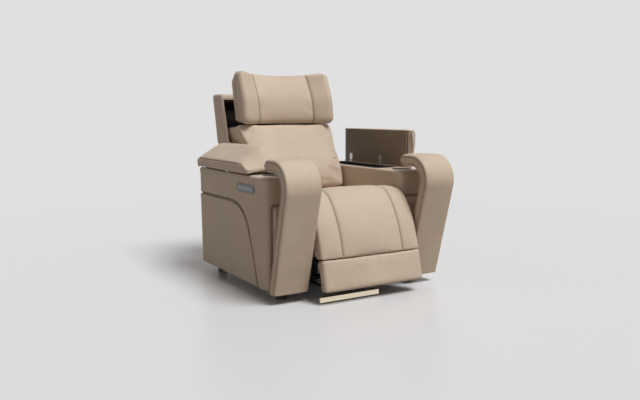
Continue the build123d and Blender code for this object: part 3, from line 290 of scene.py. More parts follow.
def clothLining(name, look):
    # Woven lining: two crossing wave patterns.
    material, tree, shader = newMaterial(name, **{"Roughness": look["rough"],
                                                 "Specular IOR Level": look["gloss"]})
    place = objectPlace(tree)
    threads = [bands(tree, place, direction, look["weave"]) for direction in ("X", "Z")]
    weave = mathNode(tree, "MAXIMUM", *threads)
    tone = placeGroup(tree, "hideDrift", place, Scale=look["drift"])["Tone"]
    toned = blendColour(tree, tone, linear(look["colour"]), linear(look["faded"]))
    connect(tree, shader, blendColour(tree, weave, linear(look["shade"]), toned),
            normal=bump(tree, weave, *look["bump"]))
    return material


def plywood(name, look):
    material, tree, shader = newMaterial(name)
    rings = bands(tree, objectPlace(tree), "X", look["rings"])
    colour = blendColour(tree, rings, linear(look["colour"]), linear(look["grain"]))
    connect(tree, shader, colour, spread(tree, rings, *look["rough"]), bump(tree, rings, *look["bump"]))
    return material


def glowing(name, look):
    # Opal strip with small lamps behind it.
    material, tree, shader = newMaterial(name, **{"Roughness": look["rough"],
                                                 "Emission Strength": look["glow"]})
    lamps = bands(tree, objectPlace(tree), "X", {"Scale": look["lamps"]})
    warm = blendColour(tree, lamps, linear(look["dim"]), linear(look["bright"]))
    for socket in ("Base Color", "Emission Color"):
        tree.links.new(warm, shader.inputs[socket])
    return material


# Colours are screen colours, 0 to 255; each bump is (strength, distance). The seam colour is painted shade
# that darkens the seam valleys.
taupeLook = {
    "dark": (190, 172, 154), "light": (203, 186, 168), "pore": (160, 141, 123), "rubbed": (216, 201, 184),
    "seam": (74, 58, 46), "poreShare": 0.35, "rubShare": 0.55, "seamShadeShare": 0.8, "gloss": 0.26,
    "sheen": 0.03, "sheenRough": 0.5, "rough": (0.48, 0.60), "poreRough": 0.12, "rubShine": 0.06,
    "grain": 620.0, "drift": 3.2, "crease": 24.0, "creaseBump": (0.35, 0.0016), "grainBump": (0.5, 0.0005),
}
liningLook = {
    **taupeLook, "dark": (126, 110, 95), "light": (139, 122, 106), "pore": (84, 70, 58),
    "rubbed": (136, 118, 102), "seam": (44, 34, 28), "gloss": 0.3, "sheen": 0.05, "rough": (0.42, 0.55),
}

slotMaterials = {
    "taupe_leather": leather("taupeLeather", taupeLook),
    "lid_underside": leather("brownLining", liningLook),
    "dark_lining": clothLining("blackLiningCloth", {
        "colour": (46, 42, 38), "faded": (56, 51, 46), "shade": (28, 26, 24), "rough": 0.92, "gloss": 0.15,
        "weave": {"Scale": 380.0, "Distortion": 0.6, "Detail": 2.0}, "drift": 6.0, "bump": (0.5, 0.0003)}),
    "board": plywood("rawPlywood", {
        "colour": (196, 164, 120), "grain": (168, 132, 90), "rough": (0.55, 0.75), "bump": (0.2, 0.0004),
        "rings": {"Scale": 18.0, "Distortion": 5.0, "Detail": 3.0, "Detail Scale": 1.4}}),
    "black_steel": moulded("blackPowderCoat", {
        "colour": (26, 26, 27), "scuffed": (36, 36, 37), "rough": (0.42, 0.55), "grain": 900.0,
        "bump": (0.3, 0.0001)}),
    "bright_steel": brushed("zincSteel", {
        "colour": (168, 170, 172), "scuffed": (208, 210, 212), "rough": (0.24, 0.36),
        "stretch": (1.0, 12.0, 1.0), "grain": 160.0, "bump": (0.15, 0.00004)}),
    "spring_wire": brushed("springWire", {
        "colour": (110, 110, 112), "scuffed": (150, 150, 152), "rough": (0.3, 0.4),
        "stretch": (1.0, 1.0, 1.0), "grain": 300.0, "bump": (0.15, 0.00004)}),
    "black_plastic": moulded("blackMoulding", {
        "colour": (24, 24, 25), "scuffed": (32, 32, 33), "rough": (0.45, 0.6), "grain": 1400.0,
        "bump": (0.3, 0.0002)}),
    "cup_metal": brushed("cupSteel", {
        "colour": (150, 152, 155), "scuffed": (206, 208, 210), "rough": (0.2, 0.32),
        "stretch": (1.0, 1.0, 14.0), "grain": 120.0, "bump": (0.15, 0.00003)}),
    "panel_plastic": moulded("panelMoulding", {
        "colour": (108, 111, 118), "scuffed": (120, 124, 131), "rough": (0.34, 0.45), "grain": 1200.0,
        "bump": (0.3, 0.00008)}),
    "button_plastic": moulded("buttonMoulding", {
        "colour": (160, 170, 184), "scuffed": (172, 181, 194), "rough": (0.36, 0.48), "grain": 1500.0,
        "bump": (0.3, 0.00008)}),
    "light_channel": brushed("lightExtrusion", {
        "colour": (150, 147, 138), "scuffed": (182, 178, 168), "rough": (0.3, 0.4),
        "stretch": (14.0, 1.0, 1.0), "grain": 60.0, "bump": (0.15, 0.00004)}),
    "light_diffuser": glowing("opalStrip", {
        "dim": (230, 219, 193), "bright": (237, 229, 208), "rough": 0.35, "lamps": 24.0, "glow": 0.52}),
}
taupe = slotMaterials["taupe_leather"]
blackCloth = slotMaterials["dark_lining"]
for part in frame["record"]["subparts"]:
    for holder in nodes[part["node"]].material_slots:
        holder.material = slotMaterials[part["material_slot"]]
print("materials ready:", len(bpy.data.materials))


# Mesh helpers

weldGap = 1e-5


def newPiece(name, mesh, material):
    piece = bpy.data.objects.new(name, mesh)
    bpy.context.scene.collection.objects.link(piece)
    mesh.materials.clear()
    mesh.materials.append(material)
    return piece


def pieceFrom(name, verts, faces, material):
    mesh = bpy.data.meshes.new(name)
    mesh.from_pydata([tuple(v) for v in verts], [], faces)
    mesh.shade_smooth()
    return newPiece(name, mesh, material)


def copyOf(name, nodeNames, material, fillers=()):
    # One mesh that holds copies of several nodes, and of boxes that fill what is hollow between them.
    joined = bmesh.new()
    for node in nodeNames:
        joined.from_mesh(nodes[node].data)
    for low, high in fillers:
        size = Matrix.Diagonal((*(high - low), 1.0))
        bmesh.ops.create_cube(joined, size=1.0, matrix=Matrix.Translation((low + high) / 2) @ size)
    bmesh.ops.remove_doubles(joined, verts=joined.verts, dist=weldGap)
    mesh = bpy.data.meshes.new(name)
    joined.to_mesh(mesh)
    joined.free()
    return newPiece(name, mesh, material)


def settle(piece):
    # Keeps what the piece's modifiers make and takes the modifiers off.
    graph = bpy.context.evaluated_depsgraph_get()
    mesh = bpy.data.meshes.new_from_object(piece.evaluated_get(graph))
    old = piece.data
    piece.modifiers.clear()
    piece.data = mesh
    bpy.data.meshes.remove(old)
    mesh.name = piece.name
    mesh.shade_smooth()
    return piece


def remesh(piece, voxel):
    even = piece.modifiers.new("even", "REMESH")
    even.mode = "VOXEL"
    even.voxel_size = voxel
    even.use_smooth_shade = True
    return settle(piece)


def refine(piece):
    finer = piece.modifiers.new("finer", "SUBSURF")
    finer.levels = 1
    finer.render_levels = 1
    return settle(piece)


def readVectors(source, count, label):
    flat = np.empty(count * 3, np.float32)
    source.foreach_get(label, flat)
    return flat.reshape(-1, 3).astype(float)


def points(mesh):
    return readVectors(mesh.vertices, len(mesh.vertices), "co")


def outward(mesh):
    return readVectors(mesh.vertex_normals, len(mesh.vertices), "vector")


def setPoints(mesh, co):
    mesh.vertices.foreach_set("co", co.astype(np.float32).ravel())
    mesh.update()


def edgeEnds(mesh):
    flat = np.empty(len(mesh.edges) * 2, np.int32)
    mesh.edges.foreach_get("vertices", flat)
    return flat.reshape(-1, 2).T


def averaged(values, ends, count):
    # Mean over each point's neighbours.
    first, second = ends
    degree = np.maximum(np.bincount(first, minlength=count) + np.bincount(second, minlength=count), 1)
    total = [np.bincount(first, column[second], count) + np.bincount(second, column[first], count)
             for column in values.T]
    return np.stack(total, axis=1) / degree[:, None]


def relax(piece, rounds, weight=None):
    # Rounds off edges by half steps; weight says how much each point may move.
    mesh = piece.data
    co = points(mesh)
    ends = edgeEnds(mesh)
    for _ in range(rounds):
        step = 0.5 * (averaged(co, ends, len(co)) - co)
        co = co + (step if weight is None else step * weight[:, None])
    setPoints(mesh, co)
    return piece


def mark(mesh, label, values):
    layer = mesh.attributes.get(label) or mesh.attributes.new(label, "FLOAT", "POINT")
    old = np.empty(len(values), np.float32)
    layer.data.foreach_get("value", old)
    layer.data.foreach_set("value", np.maximum(old, values).astype(np.float32))


rubbed = {"gain": 2.2, "start": 0.1, "rounds": 3}


def markRub(piece):
    # Rubbed edges: points that stand out from their neighbours.
    mesh = piece.data
    co = points(mesh)
    ends = edgeEnds(mesh)
    proud = np.sum((co - averaged(co, ends, len(co))) * outward(mesh), axis=1)
    step = np.median(np.linalg.norm(co[ends[0]] - co[ends[1]], axis=1))
    value = np.clip(proud / step * rubbed["gain"] - rubbed["start"], 0, 1)[:, None]
    for _ in range(rubbed["rounds"]):
        value = 0.5 * value + 0.5 * averaged(value, ends, len(co))
    mark(mesh, "rub", np.clip(value[:, 0], 0, 1))


filling = {"frames": 20, "own": 0.4, "shared": 0.6,
           "cloth": {"quality": 4, "mass": 0.4, "tension_stiffness": 18.0, "compression_stiffness": 18.0,
                     "shear_stiffness": 8.0, "bending_stiffness": 1.2, "air_damping": 2.0,
                     "use_pressure": True}}


def puff(piece, look, held):
    # Fills the pad with air as cloth, calms small crumples over some rounds, and keeps each point within cap
    # of where it began. Held points stay.
    mesh = piece.data
    start = points(mesh)
    cloth = piece.modifiers.new("fill", "CLOTH")
    for key, value in filling["cloth"].items():
        setattr(cloth.settings, key, value)
    cloth.settings.uniform_pressure_force = look["pressure"]
    cloth.settings.effector_weights.gravity = 0.0
    cloth.collision_settings.use_collision = False
    pins = piece.vertex_groups.new(name="held")
    pins.add(np.nonzero(held)[0].tolist(), 1.0, "REPLACE")
    cloth.settings.vertex_group_mass = "held"
    cloth.point_cache.frame_start = 1
    cloth.point_cache.frame_end = filling["frames"]
    scene = bpy.context.scene
    for step in range(1, filling["frames"] + 1):
        scene.frame_set(step)
    swollen = points(piece.evaluated_get(bpy.context.evaluated_depsgraph_get()).data)
    piece.modifiers.clear()
    scene.frame_set(1)
    move = swollen - start
    ends = edgeEnds(mesh)
    for _ in range(look["calm"]):
        move = filling["own"] * move + filling["shared"] * averaged(move, ends, len(move))
        move[held] = 0.0
    reach = np.linalg.norm(move, axis=1)
    move *= np.minimum(1.0, look["cap"] / np.maximum(reach, tiny))[:, None]
    setPoints(mesh, start + move)
    print("filled", piece.name, len(start), "points, mean move", round(float(reach.mean()), 4))


seamForm = {"shoulderAt": 2.4, "shoulderWidth": 1.2, "shoulder": 0.3, "seamShadeWidth": 0.55}


def sew(piece, gap, depth, width, shoulder=seamForm["shoulder"]):
    # Draws the skin in along a seam and swells it beside, and stores painted shade along the seam valley; gap
    # gives each point's distance from the seam.
    mesh = piece.data
    co = points(mesh)
    normals = outward(mesh)
    away = gap(co, normals)
    valley = np.exp(-(away / width) ** 2)
    beside = np.exp(-((away - seamForm["shoulderAt"] * width) / (seamForm["shoulderWidth"] * width)) ** 2)
    setPoints(mesh, co + normals * (depth * (shoulder * beside - valley))[:, None])
    mark(mesh, "seam", np.exp(-(away / (seamForm["seamShadeWidth"] * width)) ** 2))


def runGap(co, start, end):
    # Distance of each point from a straight run, and how far along the run its nearest place lies.
    run = end - start
    share = np.clip((co - start) @ run / (run @ run), 0, 1)
    return np.linalg.norm(co - start - share[:, None] * run, axis=1), share


rippleShift = (1.0, 1.7, 2.3)


def ripple(piece, size, depth, seed):
    # Slow unevenness of stretched leather.
    mesh = piece.data
    co = points(mesh)
    shift = Vector([seed * share for share in rippleShift])
    lift = np.array([noise.noise(Vector(p) / size + shift) for p in co])
    setPoints(mesh, co + outward(mesh) * (lift * depth)[:, None])


pullForm = {"fadeEnds": (0.02, 0.98), "fadeCurve": 0.7, "ridge": 0.7, "ridgeAt": 1.9}


def fold(piece, start, end, depth, width):
    # One pulled crease with ridges beside it, which fades towards its ends.
    mesh = piece.data
    co = points(mesh)
    away, share = runGap(co, np.array(start), np.array(end))
    fade = np.sin(np.pi * np.clip(share, *pullForm["fadeEnds"])) ** pullForm["fadeCurve"]
    ridge = np.exp(-((away - pullForm["ridgeAt"] * width) / width) ** 2)
    dip = np.exp(-(away / width) ** 2) - pullForm["ridge"] * ridge
    setPoints(mesh, co - outward(mesh) * (depth * fade * dip)[:, None])


def finishPiece(piece, body, replaced=(), blendTo=None):
    markRub(piece)
    if blendTo is None:
        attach(piece, body)
    else:
        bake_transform(piece)
    if replaced:
        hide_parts(*replaced)
    print("made", piece.name, len(piece.data.polygons), "faces")


def smoothLoop(corners, count):
    # Closed smooth curve through a few corners (Catmull-Rom).
    corners = np.array(corners, float)
    total = len(corners)
    curve = []
    for i in range(count):
        place = i * total / count
        k = int(place)
        t = place - k
        a, b, c, d = (corners[(k + s) % total] for s in (-1, 0, 1, 2))
        curve.append(0.5 * (2 * b + (c - a) * t + (2 * a - 5 * b + 4 * c - d) * t ** 2
                            + (3 * b - a - 3 * c + d) * t ** 3))
    return np.array(curve)


def unit(vector):
    return vector / np.linalg.norm(vector)


loopForm = {"arcPoints": 7, "straight": 0.9999, "runShare": 0.97}


def cornerLoop(corners, arcPoints=loopForm["arcPoints"]):
    # Closed loop in a plane; each corner is (first, second, radius, points on the run that follows it).
    # An arc takes no more of a run than its share.
    count = len(corners)
    places = [np.array(corner[:2]) for corner in corners]
    runs = [np.linalg.norm(places[(i + 1) % count] - places[i]) for i in range(count)]
    turns = []
    for i, place in enumerate(places):
        before, after = unit(places[i - 1] - place), unit(places[(i + 1) % count] - place)
        half = math.acos(max(-loopForm["straight"], min(loopForm["straight"], before @ after))) / 2
        turns.append((before, after, corners[i][2] / math.tan(half)))
    arcs = []
    for i, (before, after, wanted) in enumerate(turns):
        room = min(runs[i - 1] / max(wanted + turns[i - 1][2], tiny),
                   runs[i] / max(wanted + turns[(i + 1) % count][2], tiny))
        reach = wanted * min(1.0, loopForm["runShare"] * room)
        start, end = places[i] + before * reach, places[i] + after * reach
        steps = [k / (arcPoints - 1) for k in range(arcPoints)]
        arcs.append([(1 - t) ** 2 * start + 2 * t * (1 - t) * places[i] + t * t * end for t in steps])
    loop = []
    for i, arc in enumerate(arcs):
        loop += arc
        start, end = arc[-1], arcs[(i + 1) % count][0]
        extra = corners[i][3]
        loop += [start + (end - start) * k / (extra + 1) for k in range(1, extra + 1)]
    return np.array(loop)


def skinOf(name, rings, rim, dome, rimSteps=5, capRings=6):
    # Leather skin over a row of rings; both ends get a round rim and a slightly domed face.
    rings = [np.array(ring, float) for ring in rings]
    ends = []
    for edge, inner in ((rings[0], rings[1]), (rings[-1], rings[-2])):
        ahead = unit(edge.mean(axis=0) - inner.mean(axis=0))
        along = np.roll(edge, -1, axis=0) - np.roll(edge, 1, axis=0)
        inward = np.cross(along, ahead)
        inward /= np.maximum(np.linalg.norm(inward, axis=1), tiny)[:, None]
        if np.sum((edge.mean(axis=0) - edge) * inward) < 0:
            inward = -inward
        extra = []
        for k in range(1, rimSteps + 1):
            angle = math.pi / 2 * k / rimSteps
            extra.append(edge + inward * rim * (1 - math.cos(angle)) + ahead * rim * math.sin(angle))
        face = extra[-1]
        centre = face.mean(axis=0)
        for k in range(1, capRings + 1):
            share = k / (capRings + 0.5)    # the last ring stops short of the centre
            extra.append(face + (centre - face) * share + ahead * dome * (1 - (1 - share) ** 2))
        ends.append(extra)
    rings = ends[0][::-1] + rings + ends[1]
    count = len(rings[0])
    verts = [point for ring in rings for point in ring]
    faces = []
    for r in range(len(rings) - 1):
        for k in range(count):
            a, b = r * count + k, r * count + (k + 1) % count
            faces.append((a, a + count, b + count, b))
    middle = count // 2
    strips = [(k, k + 1, count - 2 - k, count - 1 - k) for k in range(middle - 1)]
    if count % 2:
        strips.append((middle - 1, middle, middle + 1))
    last = len(verts) - count
    for strip in strips:
        faces += [strip, tuple(last + place for place in reversed(strip))]
    piece = pieceFrom(name, verts, faces, taupe)
    turned = bmesh.new()
    turned.from_mesh(piece.data)
    bmesh.ops.recalc_face_normals(turned, faces=turned.faces)
    turned.to_mesh(piece.data)
    turned.free()
    return piece


crowding = 0.36     # share of a half turn; more crowds the rings at the ends


def acrossSkin(name, ringAt, look, **caps):
    # Skin over (Y, Z) rings at places across X, which stand closer together towards the two ends.
    reach, count = look["half"] - look["rim"], look["stations"]
    places = [reach * math.sin((2 * i / (count - 1) - 1) * math.pi * crowding) / math.sin(math.pi * crowding)
              for i in range(count)]
    rings = [[(x, y, z) for y, z in ringAt(x)] for x in places]
    return skinOf(name, rings, look["rim"], look["dome"], **caps)


def besideSeam(co, x):
    # Distance from the two upright planes at X and -X.
    return np.abs(np.abs(co[:, 0]) - x)


# Chaise pad: seat, waterfall front and leg rest in one skin

chaise = {
    "half": 0.272, "rim": 0.014, "dome": 0.002, "stations": 65, "around": 190, "edgeDepth": 0.026,
    "edgePower": 6, "seamX": 0.165, "seamDraw": 0.007, "seamSpread": 0.022, "seamDepth": 0.0035,
    "seamWidth": 0.0055, "seamHeld": 0.006, "hiddenTilt": 0.3, "seamBack": 0.1, "underTop": 0.37,
    "underFront": -0.45, "endHeld": 0.004, "pressure": 3.0, "cap": 0.009, "calm": 6,
    "ripple": (0.09, 0.0010, 3.0), "fill": 0.8,
    # (Y, Z, share of the draw-in along Y, along Z), from the seat's back over the front to the hem and round
    "outline": [
        (0.188, 0.424, 0.0, -0.3), (0.080, 0.431, 0.0, -0.6), (-0.060, 0.444, 0.0, -0.9),
        (-0.200, 0.469, 0.0, -1.0), (-0.310, 0.492, 0.0, -1.0), (-0.378, 0.490, 0.2, -0.9),
        (-0.428, 0.460, 0.6, -0.7), (-0.470, 0.406, 0.9, -0.3), (-0.506, 0.340, 1.0, 0.0),
        (-0.530, 0.274, 1.0, 0.0), (-0.542, 0.222, 0.8, 0.0), (-0.537, 0.2035, 0.5, 0.0),
        (-0.505, 0.2015, 0.2, 0.0), (-0.478, 0.204, 0.0, 0.0), (-0.452, 0.290, 0.0, 0.0),
        (-0.424, 0.378, 0.0, 0.0), (-0.392, 0.388, 0.0, 0.0), (-0.360, 0.367, 0.0, 0.0),
        (-0.180, 0.366, 0.0, 0.0), (0.000, 0.366, 0.0, 0.0), (0.150, 0.366, 0.0, 0.0),
        (0.190, 0.376, 0.0, 0.0),
    ],
    "blend": {"body": "legrest", "start": (0.0, -0.335, 0.500), "end": (0.0, -0.510, 0.300)},
}


def chaiseRing(x):
    reach = abs(x)
    drawn = (chaise["seamDraw"] * math.exp(-((reach - chaise["seamX"]) / chaise["seamSpread"]) ** 2)
             + chaise["edgeDepth"] * (reach / chaise["half"]) ** chaise["edgePower"])
    corners = [(y + drawn * shareY, z + drawn * shareZ) for y, z, shareY, shareZ in chaise["outline"]]
    return smoothLoop(corners, chaise["around"])


def chaiseSeamGap(co, normals):
    # The two long seams run over the top and front only.
    tilt = chaise["hiddenTilt"]
    hidden = (normals[:, 2] < -tilt) | ((normals[:, 1] > tilt) & (co[:, 1] < chaise["seamBack"]))
    return np.where(hidden, noSeam, besideSeam(co, chaise["seamX"]))


def makeChaise():
    piece = acrossSkin("chaisePad", chaiseRing, chaise, capRings=3)
    co = points(piece.data)
    under = (co[:, 2] < chaise["underTop"]) & (co[:, 1] > chaise["underFront"])
    ends = np.abs(co[:, 0]) > chaise["half"] - chaise["endHeld"]
    puff(piece, chaise, under | ends | (besideSeam(co, chaise["seamX"]) < chaise["seamHeld"]))
    refine(piece)
    sew(piece, chaiseSeamGap, chaise["seamDepth"], chaise["seamWidth"])
    ripple(piece, *chaise["ripple"])
    finishPiece(piece, "base", ("seat_cushion", "legrest_pad"),
                chaise["blend"])


makeChaise()


# Foot panel pad below the leg rest

footPad = {
    "half": 0.272, "rim": 0.018, "dome": 0.002, "stations": 41, "edgeDepth": 0.006, "edgePower": 6,
    # (Y, Z, radius, points on the run that follows)
    "front": [(-0.5395, 0.2000, 0.012, 14), (-0.5710, 0.0630, 0.014, 4)],
    "rear": [(-0.5240, 0.0555, 0.006, 14), (-0.4890, 0.1940, 0.006, 4)],
    "frontTilt": -0.5, "pressure": 3.0, "cap": 0.0035, "calm": 16, "ripple": (0.1, 0.0008, 5.0), "fill": 0.8,
}


def footRing(x):
    drawn = footPad["edgeDepth"] * (abs(x) / footPad["half"]) ** footPad["edgePower"]
    return cornerLoop([(y + drawn, *rest) for y, *rest in footPad["front"]] + footPad["rear"])


def makeFootPad():
    piece = acrossSkin("footPad", footRing, footPad)
    co, normals = points(piece.data), outward(piece.data)
    ends = np.abs(co[:, 0]) > footPad["half"] - footPad["rim"]
    puff(piece, footPad, (normals[:, 1] > footPad["frontTilt"]) | ends)
    refine(piece)
    ripple(piece, *footPad["ripple"])
    finishPiece(piece, "foot_panel", ("foot_pad",))


makeFootPad()


# Back cushion: a flat front, boxed sides that run back to the shell, and small pulls low on one side

backPad = {
    "half": 0.2635, "rim": 0.020, "dome": 0.002, "stations": 57, "roundShare": 0.97,
    # front corners from the foot up: (Y, Z, radius, points on the run that follows, width and depth of the
    # rounded side)
    "front": [(0.093, 0.441, 0.030, 10, 0.050, 0.021), (0.117, 0.545, 0.100, 6, 0.060, 0.024),
              (0.149, 0.607, 0.200, 18, 0.080, 0.032), (0.259, 0.785, 0.030, 4, 0.175, 0.072),
              (0.303, 0.770, 0.016, 8, 0.165, 0.068)],
    "rear": (0.352, 0.746), "sideRear": (0.456, 0.760), "rearArc": (0.010, 20),
    "base": (0.299, 0.443, 0.010, 16), "flapStart": 0.190, "flapWidth": 0.050, "rearTilt": 0.4,
    "sideTilt": 0.9, "wide": 0.100, "wideFrom": 0.625, "wideOver": 0.140, "sideWide": 0.090, "sideFrom": 0.29,
    "sideOver": 0.15,
    "pulls": [((0.250, 0.168, 0.612), (0.190, 0.153, 0.606)), ((0.250, 0.158, 0.594), (0.196, 0.145, 0.589)),
              ((0.248, 0.179, 0.630), (0.192, 0.163, 0.622))],
    "pullDepth": 0.0034, "pullWidth": 0.008,
    "pressure": 3.5, "cap": 0.007, "calm": 10, "ripple": (0.12, 0.0012, 8.0), "fill": 0.75,
}


def backRing(x):
    flap = min(1.0, max(0.0, (abs(x) - backPad["flapStart"]) / backPad["flapWidth"]))
    rear = np.array(backPad["rear"]) * (1 - flap) + np.array(backPad["sideRear"]) * flap
    corners = []
    for y, z, radius, extra, width, depth in backPad["front"]:
        share = min(1.0, max(0.0, 1 - (backPad["half"] - abs(x)) / width))
        inset = depth * (1 - math.sqrt(1 - backPad["roundShare"] * share ** 2))
        corners.append((y + inset, z, radius, extra))
    return cornerLoop([*corners, (*rear, *backPad["rearArc"]), backPad["base"]])


def widenBack(piece):
    # The cushion spreads towards its top, a little less at its rear.
    co = points(piece.data)
    rise = np.clip((co[:, 2] - backPad["wideFrom"]) / backPad["wideOver"], 0, 1)
    behind = np.clip((co[:, 1] - backPad["sideFrom"]) / backPad["sideOver"], 0, 1)
    wide = backPad["wide"] * (1 - behind) + backPad["sideWide"] * behind
    co[:, 0] *= 1 + wide * rise ** 2 * (3 - 2 * rise)
    setPoints(piece.data, co)


def makeBackPad():
    piece = acrossSkin("backPad", backRing, backPad)
    normals = outward(piece.data)
    ends = np.abs(normals[:, 0]) > backPad["sideTilt"]
    puff(piece, backPad, (normals[:, 1] > backPad["rearTilt"]) | ends)
    refine(piece)
    for start, end in backPad["pulls"]:
        fold(piece, start, end, backPad["pullDepth"], backPad["pullWidth"])
    widenBack(piece)
    ripple(piece, *backPad["ripple"])
    finishPiece(piece, "back", ("back_cushion",))


makeBackPad()


# Headrest: a dished middle panel between two curved seams, wings that come forward, boxed ends

headrest = {
    "half": 0.270, "rim": 0.026, "dome": 0.005, "stations": 61, "dishMid": 0.068, "dishSeam": 0.055,
    "front": 0.214, "bottom": 0.774, "cheekSet": 0.020, "cheekZ": 0.918, "brow": 0.288, "browDish": 0.098,
    "browDrop": 0.004, "top": 1.068, "topDip": 0.018, "crown": 0.382, "crownShift": 0.042, "rear": 0.440,
    "rearEnd": 0.013, "rearDrop": 0.056, "base": 0.398, "baseRise": 0.020,
    # (radius, points on the run that follows), from the lower front over the brow and crown to the base
    "arcs": [(0.044, 12), (0.200, 12), (0.026, 4), (0.030, 6), (0.025, 16), (0.012, 12)],
    "seamX": 0.165, "seamDraw": 0.004, "seamSpread": 0.016, "seamDepth": 0.003, "seamWidth": 0.0050,
    "seamHeld": 0.006, "seamTilt": 0.3, "endSeam": 0.55, "endLean": 0.24, "endTilt": 0.35, "rearTilt": 0.5,
    "pressure": 3.0, "cap": 0.008, "calm": 6, "ripple": (0.1, 0.0010, 11.0), "fill": 0.8,
}


def headrestRing(x):
    look = headrest
    reach, seam = min(1.0, abs(x) / look["half"]), look["seamX"] / look["half"]
    if reach < seam:
        dish = look["dishMid"] + (look["dishSeam"] - look["dishMid"]) * (reach / seam) ** 2
    else:
        dish = look["dishSeam"] * (1 - (reach - seam) / (1 - seam))
    share = dish / look["dishMid"]
    valley = look["seamDraw"] * math.exp(-((abs(x) - look["seamX"]) / look["seamSpread"]) ** 2)
    front = look["front"] + dish + valley
    high = look["top"] - look["topDip"] * share
    rear = look["rear"] + look["rearEnd"] * (1 - share) ** 2
    places = [(front, look["bottom"]), (front + look["cheekSet"], look["cheekZ"]),
              (look["brow"] + look["browDish"] * share + valley, high - look["browDrop"]),
              (look["crown"] + look["crownShift"] * share, high), (rear, high - look["rearDrop"]),
              (look["base"], look["bottom"] + look["baseRise"])]
    return cornerLoop([(*place, *arc) for place, arc in zip(places, look["arcs"])])


def headrestSeamGap(co, normals):
    # Long seams on the front and one upright seam across each end face.
    long = np.where(normals[:, 1] > headrest["seamTilt"], noSeam, besideSeam(co, headrest["seamX"]))
    foot = headrest["front"] + headrest["endSeam"] * (headrest["base"] - headrest["front"])
    upright = np.abs(co[:, 1] - foot - headrest["endLean"] * (co[:, 2] - headrest["bottom"]))
    return np.minimum(long, np.where(np.abs(normals[:, 0]) > headrest["endTilt"], upright, noSeam))


def makeHeadrest():
    piece = acrossSkin("headrestPad", headrestRing, headrest)
    co, normals = points(piece.data), outward(piece.data)
    seam = besideSeam(co, headrest["seamX"]) < headrest["seamHeld"]
    puff(piece, headrest, seam | (normals[:, 1] > headrest["rearTilt"]))
    refine(piece)
    sew(piece, headrestSeamGap, headrest["seamDepth"], headrest["seamWidth"])
    ripple(piece, *headrest["ripple"])
    finishPiece(piece, "headrest", ("headrest_pad",))


makeHeadrest()


# Outer back shell: leather outside, black lining inside the wings

shell = {
    "voxel": 0.005, "relax": 20, "out": 0.014, "outFrom": 0.15, "outTo": 0.27, "outLow": 0.66,
    "outOver": 0.02, "wingX": 0.2, "wingLow": 0.676, "down": 0.016, "downFrom": 0.68, "downOver": 0.08,
    "seamX": 0.205, "seamDepth": 0.0035, "seamWidth": 0.006, "seamTilt": 0.3,
    # where the lining begins: in from the sides, the wall and the top, and how faces turn there
    "edge": 0.012, "wall": 0.022, "rim": 0.03, "rearTilt": 0.2, "underTilt": -0.5, "wallTilt": 0.6,
}


def shellSeamGap(co, normals):
    # Two upright seams down the rear face.
    return np.where(normals[:, 1] > shell["seamTilt"], besideSeam(co, shell["seamX"]), noSeam)


def lineShell(mesh, high):
    mesh.materials.append(blackCloth)
    for face in mesh.polygons:
        place, way = face.center, face.normal
        within = abs(place.x) < high.x - shell["edge"] and place.z < high.z - shell["rim"]
        ahead = way.y < shell["rearTilt"] or way.z < shell["underTilt"]
        facesIn = abs(way.x) > shell["wallTilt"] and way.x * place.x < 0
        frontWall = way.y < -shell["wallTilt"] and abs(place.x) < high.x - shell["wall"]
        if within and ahead and (facesIn or frontWall):
            face.material_index = 1


def makeShell():
    piece = remesh(copyOf("backShell", ["back_shell"], taupe), shell["voxel"])
    relax(piece, shell["relax"])
    co = points(piece.data)
    out = np.clip((np.abs(co[:, 0]) - shell["outFrom"]) / (shell["outTo"] - shell["outFrom"]), 0, 1)
    lift = np.clip((co[:, 2] - shell["outLow"]) / shell["outOver"], 0, 1)
    co[:, 0] += np.sign(co[:, 0]) * shell["out"] * out * lift
    wing = (np.abs(co[:, 0]) > shell["wingX"]) & (co[:, 2] > shell["wingLow"])
    drop = shell["down"] * np.clip(1 - (co[:, 2] - shell["downFrom"]) / shell["downOver"], 0, 1)
    co[:, 2] -= np.where(wing, drop, 0)
    setPoints(piece.data, co)
    sew(piece, shellSeamGap, shell["seamDepth"], shell["seamWidth"])
    lineShell(piece.data, Vector(co.max(axis=0)))
    finishPiece(piece, "back", ("back_shell",))


makeShell()


# Arms: body, side pad and lower front pad

arm = {
    "voxel": 0.005, "padVoxel": 0.004, "relax": 7, "padRelax": 7, "frontRound": 0.030, "frontRelax": 60,
    "lap": 0.006, "trayGap": 0.008, "liningAndShadeTop": 0.330, "liningAndShadeTilt": -0.5, "fill": 0.6,
    "rearLean": 0.018, "leanFrom": 0.05, "leanOver": 0.35, "leanFoot": 0.07, "leanRise": 0.47,
    "grooveX": 0.44, "grooveDepth": 0.005, "grooveWidth": 0.006,
    # curved side seam as (Y, Z), from the rear to the floor
    "groove": [(0.389, 0.422), (-0.003, 0.424), (-0.072, 0.412), (-0.127, 0.381), (-0.170, 0.339),
               (-0.200, 0.269), (-0.230, 0.194), (-0.259, 0.107), (-0.279, 0.045)],
}
lowPad = {
    "inset": 0.030, "gap": 0.006, "foot": 0.050, "top": 0.431, "topDrop": 0.010, "lean": 0.022,
    "depth": 0.016, "proud": 0.0006, "rim": 0.008, "dome": 0.001, "stations": 17, "fill": 0.6,
    # (radius, points on the run that follows), from the lower front up, over and down the rear
    "arcs": [(0.003, 20), (0.010, 4), (0.006, 3), (0.004, 20), (0.003, 3)],
    "grooveOut": 0.004, "grooveOver": 0.006, "grooveBehind": 0.02, "grooveDepth": 0.006, "grooveWidth": 0.007,
}


def armEdgeWeight(co, sign):
    # How far a point belongs to the two upright front edges, which are rounder than the rest.
    low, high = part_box("left_arm_deck")
    weight = np.zeros(len(co))
    for x in (abs(low.x), abs(high.x)):
        away = np.hypot(co[:, 0] - sign * x, co[:, 1] - low.y)
        weight = np.maximum(weight, np.exp(-(away / arm["frontRound"]) ** 2))
    return weight


